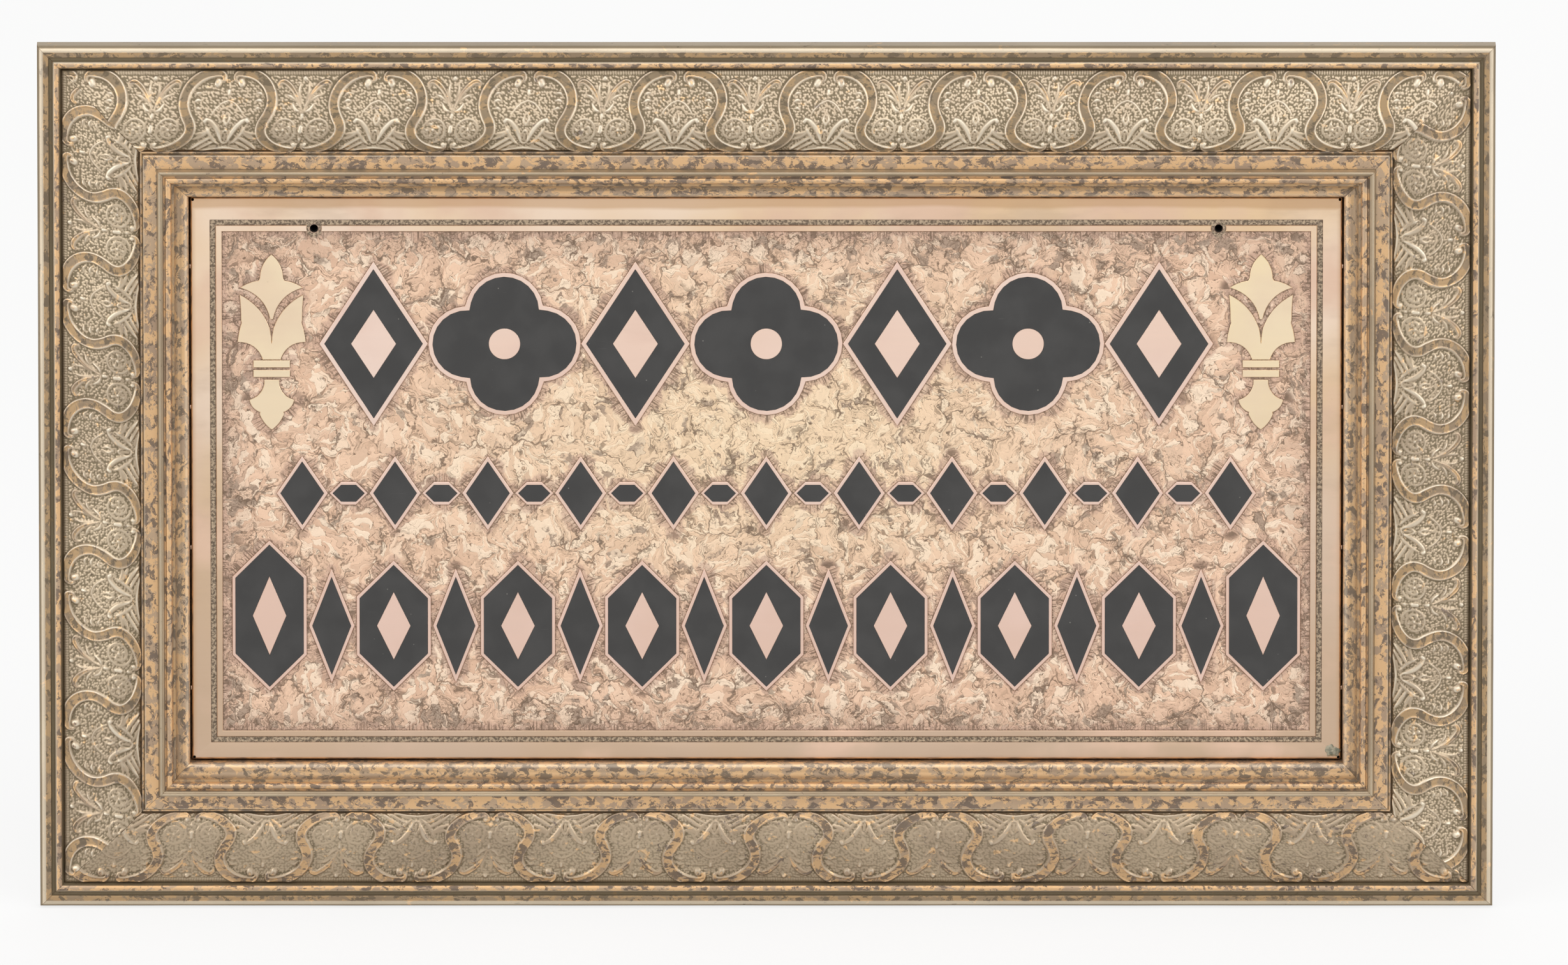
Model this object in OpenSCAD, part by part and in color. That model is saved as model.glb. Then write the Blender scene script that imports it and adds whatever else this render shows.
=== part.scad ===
// Framed etched notice plate: a folded copper-coloured pan with enamelled relief, set in a mitred
// gilt moulding with pressed ornament, and hung on a wall by two ring hangers.
//
// The row frame is upright: X to the viewer's right, Z up, the viewer looks along +Y.
// The frame's back is the plane y = 0. The origin is on it, midway between the two fixing holes.
// Each piece is drawn lying flat, with the plate's centre at x = y = 0 and its height measured
// from the back of the frame, and upright() stands it up.

/* [Plate] */
// Width of the folded plate
plate_w = 609.6; // [560:0.1:660]
// Height of the folded plate
plate_h = 304.8; // [290:0.1:340]
// Thickness of the sheet
sheet_t = 1.2; // [0.8:0.1:1.6]
// Depth of the folded edge behind the plate's face
flange_depth = 7.5; // [5:0.5:8]
// Depth of the etched ground below the raised parts
etch_depth = 0.5; // [0.3:0.05:0.6]
// Raised margin along both ends
margin_side = 10; // [7:0.5:14]
// Raised margin along the top
margin_top = 12; // [8:0.5:14]
// Raised margin along the bottom
margin_bottom = 9; // [7:0.5:12]
// Etched band between the margin and the raised rule
band_w = 3.3; // [2:0.1:5]
// Width of the raised rule
rule_w = 3.2; // [2.4:0.1:4]
// Radius of the relief hole at each folded corner
corner_hole_r = 0.8; // [0.5:0.1:1.2]

/* [Fixing holes] */
// Distance between the two fixing holes
fixing_spacing = 478.8; // [420:0.1:500]
// Radius of a fixing hole
fixing_r = 2.2; // [1.6:0.1:2.6]
// Etched ring around a fixing hole
fixing_ring = 1.8; // [1:0.1:3]

/* [Relief] */
// Width of the raised edge round the large enamelled shapes
bold_edge = 2.3; // [1.5:0.1:3]
// Width of the raised edge round the other enamelled shapes
fine_edge = 1.7; // [1:0.1:2.2]
// Height of the upper row
upper_h = 80.6; // [70:0.1:84]
// Length of the upper row
upper_w = 468; // [420:1:480]
// Number of tall lozenges in the upper row
upper_lozenges = 4; // [3:1:5]
// Height of the upper row's centre above the plate's centre
upper_y = 73; // [68:0.5:76]
// Width of a tall lozenge in the upper row
upper_lozenge_w = 52; // [44:1:56]
// Width of the enamel around a tall lozenge's island
upper_stroke = 14; // [11:0.5:15]
// Height of the middle row
middle_h = 34.2; // [28:0.1:36]
// Length of the middle row
middle_w = 515; // [480:1:540]
// Number of lozenges in the middle row
middle_lozenges = 11; // [9:1:12]
// Height of the middle row's centre above the plate's centre
middle_y = -8; // [-10:0.5:-6]
// Width of a lozenge in the middle row
middle_lozenge_w = 23; // [20:1:25]
// Height of a bar in the middle row
middle_bar_h = 9; // [7:0.5:11]
// Height of the lower row
lower_h = 66; // [60:0.1:68]
// Extra height of the lower row's two end shapes
lower_end_extra = 11; // [6:0.5:12]
// Length of the lower row
lower_w = 563; // [540:1:565]
// Number of tablets in the lower row
lower_tablets = 9; // [7:1:10]
// Height of the lower row's centre above the plate's centre
lower_y = -80; // [-81:0.5:-78]
// Width of a tablet in the lower row
lower_tablet_w = 36; // [30:0.5:38]
// Width of the enamel beside the island of a tablet
lower_stroke = 9; // [7:0.5:11]
// Gap between neighbouring shapes of a row
row_gap = 3; // [2:0.1:4]
// Distance from the plate's centre to the leaf ornament at either end
leaf_x = 262; // [258:0.5:266]
// Height of the leaf ornament's middle above the plate's centre
leaf_y = 74; // [70:0.5:76]
// Full height of the leaf ornament
leaf_h = 95; // [84:1:98]
// Full width of the leaf ornament
leaf_w = 36; // [30:0.5:38]

/* [Moulding] */
// Width of the moulding, from its outer edge to the sight edge
rail_w = 80; // [78:0.5:90]
// Thickness of the moulding at its ridge
rail_t = 30; // [28:0.5:34]
// Height of the moulding's outer side
side_h = 8.5; // [7:0.5:10]
// Radius of the rounded outer edge
outer_round = 3.5; // [2.5:0.1:3.5]
// Flat between the rounded outer edge and its groove
outer_flat = 2.5; // [2:0.1:3]
// Width and depth of the groove beside the outer bead
outer_groove = [2.2, 1.6]; // [1:0.1:2.6]
// Radius of the outer bead
outer_bead_r = 1.9; // [1.5:0.1:2]
// Depth of the outer bead's centre below the outer edge
outer_bead_drop = 0.8; // [0.4:0.1:1.2]
// Width and depth of the step between the outer bead and the ornamented field
field_step = [0.8, 1.2]; // [0.5:0.1:1.4]
// Width of the ornamented field, from the outer bead to the inner band
field_w = 41.8; // [40:0.1:42]
// Rise of the ornamented field, from its outer edge to its crown
field_rise = 14.8; // [12:0.1:15]
// Width and drop of the crown's rounded inner side
crown_side = [8.8, 3]; // [2:0.1:10]
// Width of the valley between the crown and the inner band
valley_w = 2.2; // [1.5:0.1:3]
// Depth of the inner band below the crown
band_drop = 0.4; // [0:0.1:1]
// Distance from the sight edge to the ridge's outer side
ridge_inset = 15.9; // [15.5:0.1:16.5]
// Width of the ridge
ridge_w = 2.4; // [2:0.1:2.8]
// Bevel of the ridge's outer corner
ridge_bevel = 0.8; // [0.4:0.1:1]
// Width of the slanted corner beside a bead, a band or a groove
corner_slant = 0.4; // [0.2:0.1:0.6]
// Thickness of the pressed ornament
ornament_t = 2; // [1.5:0.1:2.5]
// Radius of the inner bead
inner_bead_r = 1.7; // [1.2:0.1:1.7]
// Distance and depth of the inner bead behind the ridge
inner_bead_place = [1, 3]; // [0.8:0.1:3.4]
// Width and depth of the groove between the inner bead and the sight cove
inner_groove = [1.6, 4.2]; // [1.2:0.1:4.6]
// Radius of the rounded sight edge
sight_round = 3; // [2:0.1:3]
// Height of the rounded sight edge's centre above the plate's face
sight_lift = 3.3; // [2.5:0.1:4]
// Gap between the plate and the sight edge
sight_gap = 1; // [0.8:0.1:1.5]

/* [Back] */
// Width of the rabbet that holds the backing board
rabbet_w = 8; // [6:0.5:9]
// Clearance around the backing board in its rabbet
board_clear = 1; // [0.5:0.1:2]
// Thickness of the backing board, which is also the rabbet's depth
board_t = 5; // [4:0.5:6]
// Thickness of the core board inside the pan
core_t = 8; // [7:0.5:10]
// Clearance around the core board inside the pan
core_clear = 0.3; // [0.1:0.1:0.5]
// Thickness of a wall pad, which is also the frame's distance from the wall
pad_t = 6; // [5.8:0.1:8]
// Radius of a wall pad
pad_r = 6; // [5:0.5:8]
// Distance from the frame's corner to a wall pad's centre, along the end and across it
pad_inset = [25, 60]; // [20:1:80]

/* [Turn buttons] */
// Length of a turn button
button_l = 32; // [28:1:36]
// Width of a turn button
button_w = 10; // [8:0.5:12]
// Thickness of a turn button
button_t = 1.4; // [1:0.1:1.6]
// Distance from a turn button's pivot to its rear end
button_tail = 9; // [7:0.5:10]
// Distance from the rabbet's edge to a turn button's pivot
button_setback = 8; // [7:0.5:9]
// Gap between a turn button and the surfaces it passes over
button_gap = 0.3; // [0.2:0.05:0.5]
// Distance between the two turn buttons on the top or bottom rail
button_spacing = 300; // [200:5:400]

/* [Hangers] */
// Distance from the frame's top edge to a hanger's hinge
hanger_drop = 115; // [100:1:130]
// Width of a hanger's strap
strap_w = 13; // [11:0.5:14]
// Length of a hanger's strap below its hinge
strap_l = 44; // [42:1:50]
// Thickness of a hanger's strap
strap_t = 1.2; // [1:0.1:1.4]
// Distances from the strap's lower end to its two screws
strap_screw_insets = [17, 6]; // [5:0.5:20]
// Radius of the ring's wire
ring_wire_r = 1.2; // [1:0.05:1.3]
// Inner width of the ring
ring_w = 18; // [17:0.5:20]
// Length of the ring's straight sides
ring_leg = 5; // [4:0.5:6]
// Height of the hinge's axis above the frame's back
hinge_lift = 3; // [2.9:0.05:3.2]

/* [Fits and fasteners] */
// Running clearance of a ring in its strap and of a button on its screw
pivot_clear = 0.05; // [0.03:0.01:0.08]
// Radius of the shank of a button screw or a hanger screw
screw_r = 1.7; // [1.4:0.1:1.8]
// Radius of a screw's round head
screw_head_r = 3.4; // [2.8:0.1:3.6]
// Height of a screw's round head
screw_head_h = 1.8; // [1.2:0.1:1.8]
// Length of a screw in the wood
screw_depth = 10; // [8:0.5:11]
// Radius of the shank of a core screw
core_screw_r = 1.5; // [1.2:0.1:1.8]
// Radius of a tack's shank
tack_r = 0.6; // [0.5:0.05:0.8]
// Length of a tack in the core board
tack_depth = 9; // [6:0.5:12]
// Width of a corner wedge across the mitre
wedge_w = 10; // [8:0.5:12]
// Depth of a corner wedge
wedge_depth = 9; // [7:0.5:9]
// Thickness of a corner wedge's steel
wedge_t = 0.8; // [0.6:0.1:1]
// Distances from the outer corner to the two wedges of a mitre, along each side
wedge_steps = [22, 50]; // [16:1:60]
// Number of tacks along the pan's top or bottom
tack_count_long = 7; // [5:1:9]
// Number of tacks along either end of the pan
tack_count_short = 4; // [3:1:5]
// Radius of the solder over the corner's relief hole
solder_r = 3.8; // [3:0.1:4.5]
// Thickness of the solder
solder_h = 0.3; // [0.2:0.05:0.5]

/* [Hidden] */
$fn = 96;

// Overlap of a cutting solid past the face that it cuts
cut = 1;
// Outer size of the frame
frame_w = plate_w + 2 * (sight_gap + rail_w);
frame_h = plate_h + 2 * (sight_gap + rail_w);
// Height of the plate's face, measured like all heights from the frame's back
face_z = board_t + core_t + sheet_t;
ground_z = face_z - etch_depth;
// Height of the plate's fixing line above the plate's centre
fixing_y = plate_h / 2 - margin_top - band_w - rule_w / 2;

// Moulding stations, measured across the rail from its outer edge
fillet_end = outer_round + outer_flat;
bead_start = fillet_end + outer_groove.x;
bead_end = bead_start + 2 * outer_bead_r;
field_start = bead_end + field_step.x;
field_end = field_start + field_w;
crown_u = field_end - crown_side.x;
band_start = field_end + valley_w;
ridge_start = rail_w - ridge_inset;
ridge_end = ridge_start + ridge_w;
inner_bead_start = ridge_end + inner_bead_place.x;
inner_bead_end = inner_bead_start + 2 * inner_bead_r;
cove_start = inner_bead_end + inner_groove.x;
cove_end = rail_w - sight_round;
// Moulding heights
fillet_z = side_h + outer_round;
groove_z = fillet_z - outer_groove.y;
bead_z = fillet_z - outer_bead_drop;
field_z = fillet_z - field_step.y;
crown_z = field_z + field_rise;
valley_z = crown_z - crown_side.y;
band_z = crown_z - band_drop;
inner_bead_z = rail_t - inner_bead_place.y;
cove_z = rail_t - inner_groove.y;
sight_z = face_z + sight_lift;
// Slope of the field at its outer edge
field_slope = 0.35;

// Turn button pivots: distance from the rail's outer edge
pivot_u = rail_w - rabbet_w - button_setback;
hinge_x = frame_w / 2 - rail_w / 2;
hinge_y = frame_h / 2 - hanger_drop;
barrel_r = ring_wire_r + pivot_clear + strap_t;
// Distances from the hinge down to the two hanger screws
hanger_screw_steps = [for (inset = strap_screw_insets) strap_l - inset];
// Places of the screws and tacks
core_screw_xs = [-plate_w * 0.4, 0, plate_w * 0.4];
core_screw_ys = [-plate_h * 0.3, plate_h * 0.3];
tack_z = face_z - flange_depth / 2 - sheet_t / 2;

gilt = "#A89B7C";
bright_gilt = "#C9BDA0";
copper = "#E6BF9B";
enamel = "#454646";
steel = "#A8A9AB";
wood = "#B08A5C";
board = "#8A6A48";
rubber = "#3A3A3A";
solder = "#A9A18A";

// Stand a flat-drawn piece up, with its fixing line at z = 0
module upright() {
    rotate([90, 0, 0]) translate([0, -fixing_y, 0]) children();
}

// Points of an ellipse's arc about c, with radii r = [across, up], from angle a to angle b
function arc(c, r, a, b, steps = 8) =
    [for (i = [0 : steps]) let (t = a + (b - a) * i / steps) [c.x + r.x * cos(t), c.y + r.y * sin(t)]];

// Points on a line through the listed corners that bends by a bulge after each one: a corner is
// [x, y, bulge], where bulge is the arc's height over half its chord, positive to the right
function bent_line(corners, steps = 6) = [
    for (i = [0 : len(corners) - 1])
        let (p = corners[i], q = corners[(i + 1) % len(corners)], d = [q.x - p.x, q.y - p.y], bulge = p[2])
        for (k = [0 : (bulge == 0 ? 0 : steps - 1)])
            let (t = k / steps, lift = 2 * bulge * t * (1 - t))
            [p.x + d.x * t + d.y * lift, p.y + d.y * t - d.x * lift]
];

// The field's curve, a cubic from its outer edge up to its crown, lowered by drop
function field_curve(drop, steps = 14) = [
    for (i = [0 : steps])
        let (s = i / steps, span = crown_u - field_start)
        [
            field_start + span * s,
            field_z - drop + field_rise * (3 * s * s - 2 * s * s * s)
                + field_slope * span * (s * s * s - 2 * s * s + s)
        ]
];

// The crown rolls over towards the inner band
function crown_roll(drop) =
    arc([crown_u, valley_z - drop], [field_end - crown_u, crown_z - valley_z], 90, 0, 6);

// Half a section of the moulding, with the field cut down to the bed of the pressed ornament
module rail_section() {
    polygon(concat(
        [[0, 0]],
        arc([outer_round, side_h], [outer_round, outer_round], 180, 90, 6),
        [[fillet_end, fillet_z], [fillet_end + corner_slant, groove_z], [bead_start - corner_slant, groove_z]],
        arc([bead_start + outer_bead_r, bead_z], [outer_bead_r, outer_bead_r], 180, 0, 8),
        [[field_start, field_z]],
        field_curve(ornament_t),
        crown_roll(ornament_t),
        [[field_end, valley_z], [band_start - corner_slant, valley_z], [band_start, band_z]],
        [[ridge_start - corner_slant, band_z + 2 * ridge_bevel], [ridge_start, rail_t - ridge_bevel]],
        [[ridge_start + ridge_bevel, rail_t], [ridge_end - ridge_bevel, rail_t], [ridge_end, rail_t - 2 * ridge_bevel]],
        arc([inner_bead_start + inner_bead_r, inner_bead_z], [inner_bead_r, inner_bead_r], 180, 0, 8),
        [[inner_bead_end + corner_slant, cove_z], [cove_start - corner_slant, cove_z]],
        arc([cove_end, cove_z], [cove_end - cove_start, cove_z - sight_z - sight_round], 180, 270, 6),
        arc([cove_end, sight_z], [sight_round, sight_round], 90, 0, 6),
        [[rail_w, board_t], [rail_w - rabbet_w, board_t], [rail_w - rabbet_w, 0]]
    ));
}

// Section of the pressed ornament that lies on the field's bed
module ornament_section() {
    top = concat(field_curve(0), crown_roll(0));
    bed = concat(field_curve(ornament_t), crown_roll(ornament_t));
    polygon(concat(top, [for (i = [len(bed) - 1 : -1 : 0]) bed[i]]));
}

// The trapezoid that a rail's two mitres leave of its plan
module mitred_plan(rail_l) {
    polygon([
        [-rail_l / 2, 0], [rail_l / 2, 0],
        [rail_l / 2 - rail_w, rail_w], [rail_w - rail_l / 2, rail_w]
    ]);
}

// Run a section along X and cut both ends to the mitre
module mitred_run(rail_l) {
    intersection() {
        rotate([90, 0, 90]) linear_extrude(height = rail_l, center = true) children();
        translate([0, 0, -cut]) linear_extrude(height = rail_t + 2 * cut) mitred_plan(rail_l);
    }
}

// Put a piece drawn for the bottom rail on one of the four sides: 0 bottom, 1 right, 2 top, 3 left
module on_side(side) {
    reach = (side % 2 == 0 ? frame_h : frame_w) / 2;
    rotate([0, 0, 90 * side]) translate([0, -reach, 0]) children();
}

function rail_length(side) = side % 2 == 0 ? frame_w : frame_h;

// Thin V of steel that straddles the mitre, its point towards the outer corner
module wedge_plan(grow = 0) {
    half = wedge_w / 2;
    polygon([
        [0, -grow], [half + grow, half - grow], [half + grow, half + wedge_t],
        [0, wedge_t * 1.4 + grow], [-half - grow, half + wedge_t], [-half - grow, half - grow]
    ]);
}

// All the corner wedges: two in each mitre, driven in flush from the back
module all_wedges() {
    for (sx = [-1, 1])
        for (sy = [-1, 1])
            for (step = wedge_steps)
                translate([sx * (frame_w / 2 - step), sy * (frame_h / 2 - step), 0])
                    rotate([0, 0, sx * sy > 0 ? (sx > 0 ? 135 : -45) : (sx > 0 ? 45 : -135)])
                        linear_extrude(height = wedge_depth) wedge_plan();
}

// Screw with a round head that sits at height z and a shank that goes down into the wood
module round_screw(z) {
    translate([0, 0, z]) cylinder(r = screw_head_r, h = screw_head_h / 2);
    translate([0, 0, z + screw_head_h / 2]) cylinder(r1 = screw_head_r, r2 = screw_head_r * 0.6, h = screw_head_h / 2);
    translate([0, 0, -screw_depth]) cylinder(r = screw_r, h = screw_depth + z);
}

// The pilot hole that the same screw fills
module pilot_hole() {
    translate([0, 0, -screw_depth]) cylinder(r = screw_r, h = screw_depth + cut);
}

// Where each turn button's pivot lies: [x, y, turn], the turn points its long end inwards
button_places = [
    [-button_spacing / 2, frame_h / 2 - pivot_u, 180],
    [button_spacing / 2, frame_h / 2 - pivot_u, 180],
    [-button_spacing / 2, pivot_u - frame_h / 2, 0],
    [button_spacing / 2, pivot_u - frame_h / 2, 0],
    [pivot_u - frame_w / 2, 0, -90],
    [frame_w / 2 - pivot_u, 0, 90]
];

// Back hardware is drawn with its heights measured backwards from the frame's back
module behind() {
    mirror([0, 0, 1]) children();
}

module rail_pilots() {
    behind() {
        for (p = button_places) translate([p.x, p.y, 0]) pilot_hole();
        for (sx = [-1, 1])
            for (step = hanger_screw_steps) translate([sx * hinge_x, hinge_y - step, 0]) pilot_hole();
    }
}

module rail(side) {
    color(gilt) upright() difference() {
        on_side(side) mitred_run(rail_length(side)) rail_section();
        all_wedges();
        rail_pilots();
    }
}

module ornament(side) {
    color(bright_gilt) upright() on_side(side) mitred_run(rail_length(side)) ornament_section();
}

module corner_wedges() {
    color(steel) upright() all_wedges();
}

// Upright lozenge, grown by an even edge
module lozenge(w, h, grow = 0) {
    slant = sqrt(w * w + h * h);
    half_w = w / 2 + grow * slant / h;
    half_h = h / 2 + grow * slant / w;
    polygon([[0, -half_h], [half_w, 0], [0, half_h], [-half_w, 0]]);
}

// Four-lobed flower of size w by h, grown by an even edge
module four_lobes(w, h, grow = 0) {
    lobe = min(w, h) / 4 + grow;
    for (s = [-1, 1]) {
        translate([s * (w / 2 - lobe + grow), 0]) circle(r = lobe);
        translate([0, s * (h / 2 - lobe + grow)]) circle(r = lobe);
    }
    lozenge(w * 0.8, h * 0.8, grow);
}

// Bar with pointed ends, grown by an even edge
module pointed_bar(w, h, grow = 0) {
    half_w = w / 2 + grow;
    half_h = h / 2 + grow;
    polygon([
        [-half_w, 0], [-half_w + half_h, -half_h], [half_w - half_h, -half_h],
        [half_w, 0], [half_w - half_h, half_h], [-half_w + half_h, half_h]
    ]);
}

// Upright tablet with right-angled points above and below, grown by an even edge
module tablet(w, h, grow = 0) {
    half = w / 2 + grow;
    tip = h / 2 + grow * sqrt(2);
    corner = (h - w) / 2 + grow * (sqrt(2) - 1);
    polygon([[0, -tip], [half, -corner], [half, corner], [0, tip], [-half, corner], [-half, -corner]]);
}

// The upper row: tall lozenges with four-lobed flowers between them
function upper_step() = (upper_w - upper_lozenge_w) / (upper_lozenges - 1);

function upper_x(i) = -(upper_w - upper_lozenge_w) / 2 + i * upper_step();

module upper_shapes(grow = 0) {
    flower_w = upper_step() - upper_lozenge_w - 2 * row_gap - 2 * bold_edge;
    for (i = [0 : upper_lozenges - 1]) translate([upper_x(i), 0]) lozenge(upper_lozenge_w, upper_h, grow);
    for (i = [0 : upper_lozenges - 2])
        translate([upper_x(i + 0.5), 0]) four_lobes(flower_w, upper_h * 0.9, grow);
}

module upper_islands() {
    share = 1 - 2 * upper_stroke / upper_lozenge_w;
    for (i = [0 : upper_lozenges - 1])
        translate([upper_x(i), 0]) lozenge(upper_lozenge_w * share, upper_h * share);
    for (i = [0 : upper_lozenges - 2])
        translate([upper_x(i + 0.5), 0]) circle(r = upper_stroke * 0.6);
}

// The middle row: small lozenges with pointed bars between them
function middle_step() = (middle_w - middle_lozenge_w) / (middle_lozenges - 1);

function middle_x(i) = -(middle_w - middle_lozenge_w) / 2 + i * middle_step();

module middle_shapes(grow = 0) {
    bar_w = middle_step() - middle_lozenge_w - 2 * row_gap - 2 * fine_edge;
    for (i = [0 : middle_lozenges - 1])
        translate([middle_x(i), 0]) lozenge(middle_lozenge_w, middle_h, grow);
    for (i = [0 : middle_lozenges - 2])
        translate([middle_x(i + 0.5), 0]) pointed_bar(bar_w, middle_bar_h, grow);
}

// The lower row: tablets with slim lozenges between them, and taller tablets at the ends
function lower_step() = (lower_w - lower_tablet_w) / (lower_tablets - 1);

function lower_x(i) = -(lower_w - lower_tablet_w) / 2 + i * lower_step();

// Extra height of tablet i, which stands on the row's foot
function lower_extra(i) = i == 0 || i == lower_tablets - 1 ? lower_end_extra : 0;

module lower_shapes(grow = 0) {
    lozenge_w = lower_step() - lower_tablet_w - 2 * row_gap - 2 * fine_edge;
    for (i = [0 : lower_tablets - 1])
        translate([lower_x(i), lower_extra(i) / 2]) tablet(lower_tablet_w, lower_h + lower_extra(i), grow);
    for (i = [0 : lower_tablets - 2])
        translate([lower_x(i + 0.5), 0]) lozenge(lozenge_w, lower_h * 0.8, grow);
}

module lower_islands() {
    for (i = [0 : lower_tablets - 1])
        translate([lower_x(i), lower_extra(i) / 2])
            lozenge(lower_tablet_w - 2 * lower_stroke, (lower_h + lower_extra(i)) * 0.56);
}

// One traditional leaf ornament, from corners given as shares of its half width and half height
module leaf_part(corners) {
    polygon(bent_line([for (c = corners) [c.x * leaf_w / 2, c.y * leaf_h / 2, c[2]]]));
}

module leaf_ornament() {
    leaf_part([
        [0, 1, 0.22], [0.37, 0.72, 0], [0.4, 0.71, 0.16], [0.96, 0.64, 0.3],
        [0.04, 0.26, 0], [-0.04, 0.26, 0.3], [-0.96, 0.64, 0.16], [-0.4, 0.71, 0], [-0.37, 0.72, 0.22]
    ]);
    for (s = [-1, 1]) mirror([s < 0 ? 1 : 0, 0]) leaf_part([
        [0.9, 0.57, 0.12], [0.86, 0.23, 0.1], [1, 0, -0.36], [0.28, -0.18, 0],
        [0, -0.18, 0], [0, -0.02, -0.04], [0.06, 0.16, -0.2]
    ]);
    for (y = [-0.25, -0.36]) translate([0, y * leaf_h / 2]) square([leaf_w * 0.54, leaf_h * 0.04], center = true);
    leaf_part([
        [0.16, -0.43, 0], [0.2, -0.5, -0.3], [0.7, -0.67, 0.3], [0.36, -0.8, 0], [0.34, -0.82, 0.2],
        [0, -1, 0.2], [-0.34, -0.82, 0], [-0.36, -0.8, 0.3], [-0.7, -0.67, -0.3], [-0.2, -0.5, 0], [-0.16, -0.43, 0]
    ]);
}

// Rectangle inset from the plate's edges by an extra distance beyond the margins
module inset_plate(extra) {
    translate([-plate_w / 2 + margin_side + extra, -plate_h / 2 + margin_bottom + extra])
        square([
            plate_w - 2 * (margin_side + extra),
            plate_h - margin_top - margin_bottom - 2 * extra
        ]);
}

// Plan of everything that the etch left standing inside the rule
module standing_relief() {
    translate([0, upper_y]) upper_shapes(bold_edge);
    translate([0, middle_y]) middle_shapes(fine_edge);
    translate([0, lower_y]) lower_shapes(fine_edge);
    for (s = [-1, 1]) translate([s * leaf_x, leaf_y]) leaf_ornament();
}

// Bores through the plate, the core and the backing board
module fixing_bores() {
    for (s = [-1, 1])
        translate([s * fixing_spacing / 2, fixing_y, -cut]) cylinder(r = fixing_r, h = face_z + 2 * cut);
}

module etched_layer() {
    linear_extrude(height = etch_depth + cut) children();
}

// The four rows of tacks that pin the pan's folded edge to the core board
module all_tacks(head = false) {
    long_step = plate_w / tack_count_long;
    short_step = plate_h / tack_count_short;
    for (s = [-1, 1]) {
        for (i = [0 : tack_count_long - 1])
            translate([-plate_w / 2 + (i + 0.5) * long_step, s * plate_h / 2, tack_z]) rotate([s * 90, 0, 0])
                tack(head);
        for (i = [0 : tack_count_short - 1])
            translate([s * plate_w / 2, -plate_h / 2 + (i + 0.5) * short_step, tack_z]) rotate([0, -s * 90, 0])
                tack(head);
    }
}

// Tack drawn pointing up from its head, which is half as thick as the gap that it lies in
module tack(head) {
    cylinder(r = tack_r, h = tack_depth);
    if (head) translate([0, 0, -sight_gap / 2]) cylinder(r = tack_r * 2.6, h = sight_gap / 2);
}

module folded_shell() {
    difference() {
        translate([-plate_w / 2, -plate_h / 2, face_z - flange_depth]) cube([plate_w, plate_h, flange_depth]);
        translate([sheet_t - plate_w / 2, sheet_t - plate_h / 2, face_z - flange_depth - cut])
            cube([plate_w - 2 * sheet_t, plate_h - 2 * sheet_t, flange_depth - sheet_t + cut]);
    }
}

// Islands of bare metal in the enamel keep the plate's full height
module enamel_plan(row) {
    if (row == "upper") translate([0, upper_y]) difference() {
        upper_shapes();
        upper_islands();
    }
    if (row == "middle") translate([0, middle_y]) middle_shapes();
    if (row == "lower") translate([0, lower_y]) difference() {
        lower_shapes();
        lower_islands();
    }
}

module sign_pan() {
    color(copper) upright() difference() {
        folded_shell();
        translate([0, 0, ground_z]) etched_layer() difference() {
            inset_plate(0);
            inset_plate(band_w);
        }
        translate([0, 0, ground_z]) etched_layer() difference() {
            inset_plate(band_w + rule_w);
            standing_relief();
        }
        translate([0, 0, ground_z]) etched_layer()
            for (s = [-1, 1]) translate([s * fixing_spacing / 2, fixing_y]) circle(r = fixing_r + fixing_ring);
        for (row = ["upper", "middle", "lower"]) translate([0, 0, ground_z]) etched_layer() enamel_plan(row);
        fixing_bores();
        for (sx = [-1, 1])
            for (sy = [-1, 1])
                translate([sx * (plate_w / 2 - sheet_t), sy * (plate_h / 2 - sheet_t), face_z - sheet_t - cut])
                    cylinder(r = corner_hole_r, h = sheet_t + 2 * cut);
        all_tacks();
    }
}

module enamel_row(row) {
    color(enamel) upright() translate([0, 0, ground_z]) linear_extrude(height = etch_depth) enamel_plan(row);
}

module upper_enamel() {
    enamel_row("upper");
}

module middle_enamel() {
    enamel_row("middle");
}

module lower_enamel() {
    enamel_row("lower");
}

// Low puddle of solder over the lower right corner's relief hole
module corner_solder() {
    inset = solder_r + sheet_t / 3;
    color(solder) upright() translate([plate_w / 2 - inset, inset - plate_h / 2, face_z])
        cylinder(r1 = solder_r, r2 = solder_r * 0.6, h = solder_h);
}

module core_board() {
    inset = sheet_t + core_clear;
    color(wood) upright() difference() {
        translate([inset - plate_w / 2, inset - plate_h / 2, board_t])
            cube([plate_w - 2 * inset, plate_h - 2 * inset, core_t]);
        fixing_bores();
        all_tacks();
        all_core_screws();
    }
}

module flange_tacks() {
    color(copper) upright() all_tacks(true);
}

// Countersunk screws that go in from the back, through the backing board into the core board
module all_core_screws() {
    for (x = core_screw_xs)
        for (y = core_screw_ys) translate([x, y, 0]) {
            cylinder(r = core_screw_r, h = board_t + core_t - sheet_t);
            cylinder(r1 = core_screw_r * 2, r2 = core_screw_r, h = core_screw_r);
        }
}

module backing_board() {
    inset = rail_w - rabbet_w + board_clear;
    color(board) upright() difference() {
        translate([inset - frame_w / 2, inset - frame_h / 2, 0])
            cube([frame_w - 2 * inset, frame_h - 2 * inset, board_t]);
        fixing_bores();
        all_core_screws();
    }
}

module core_screws() {
    color(steel) upright() all_core_screws();
}

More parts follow.
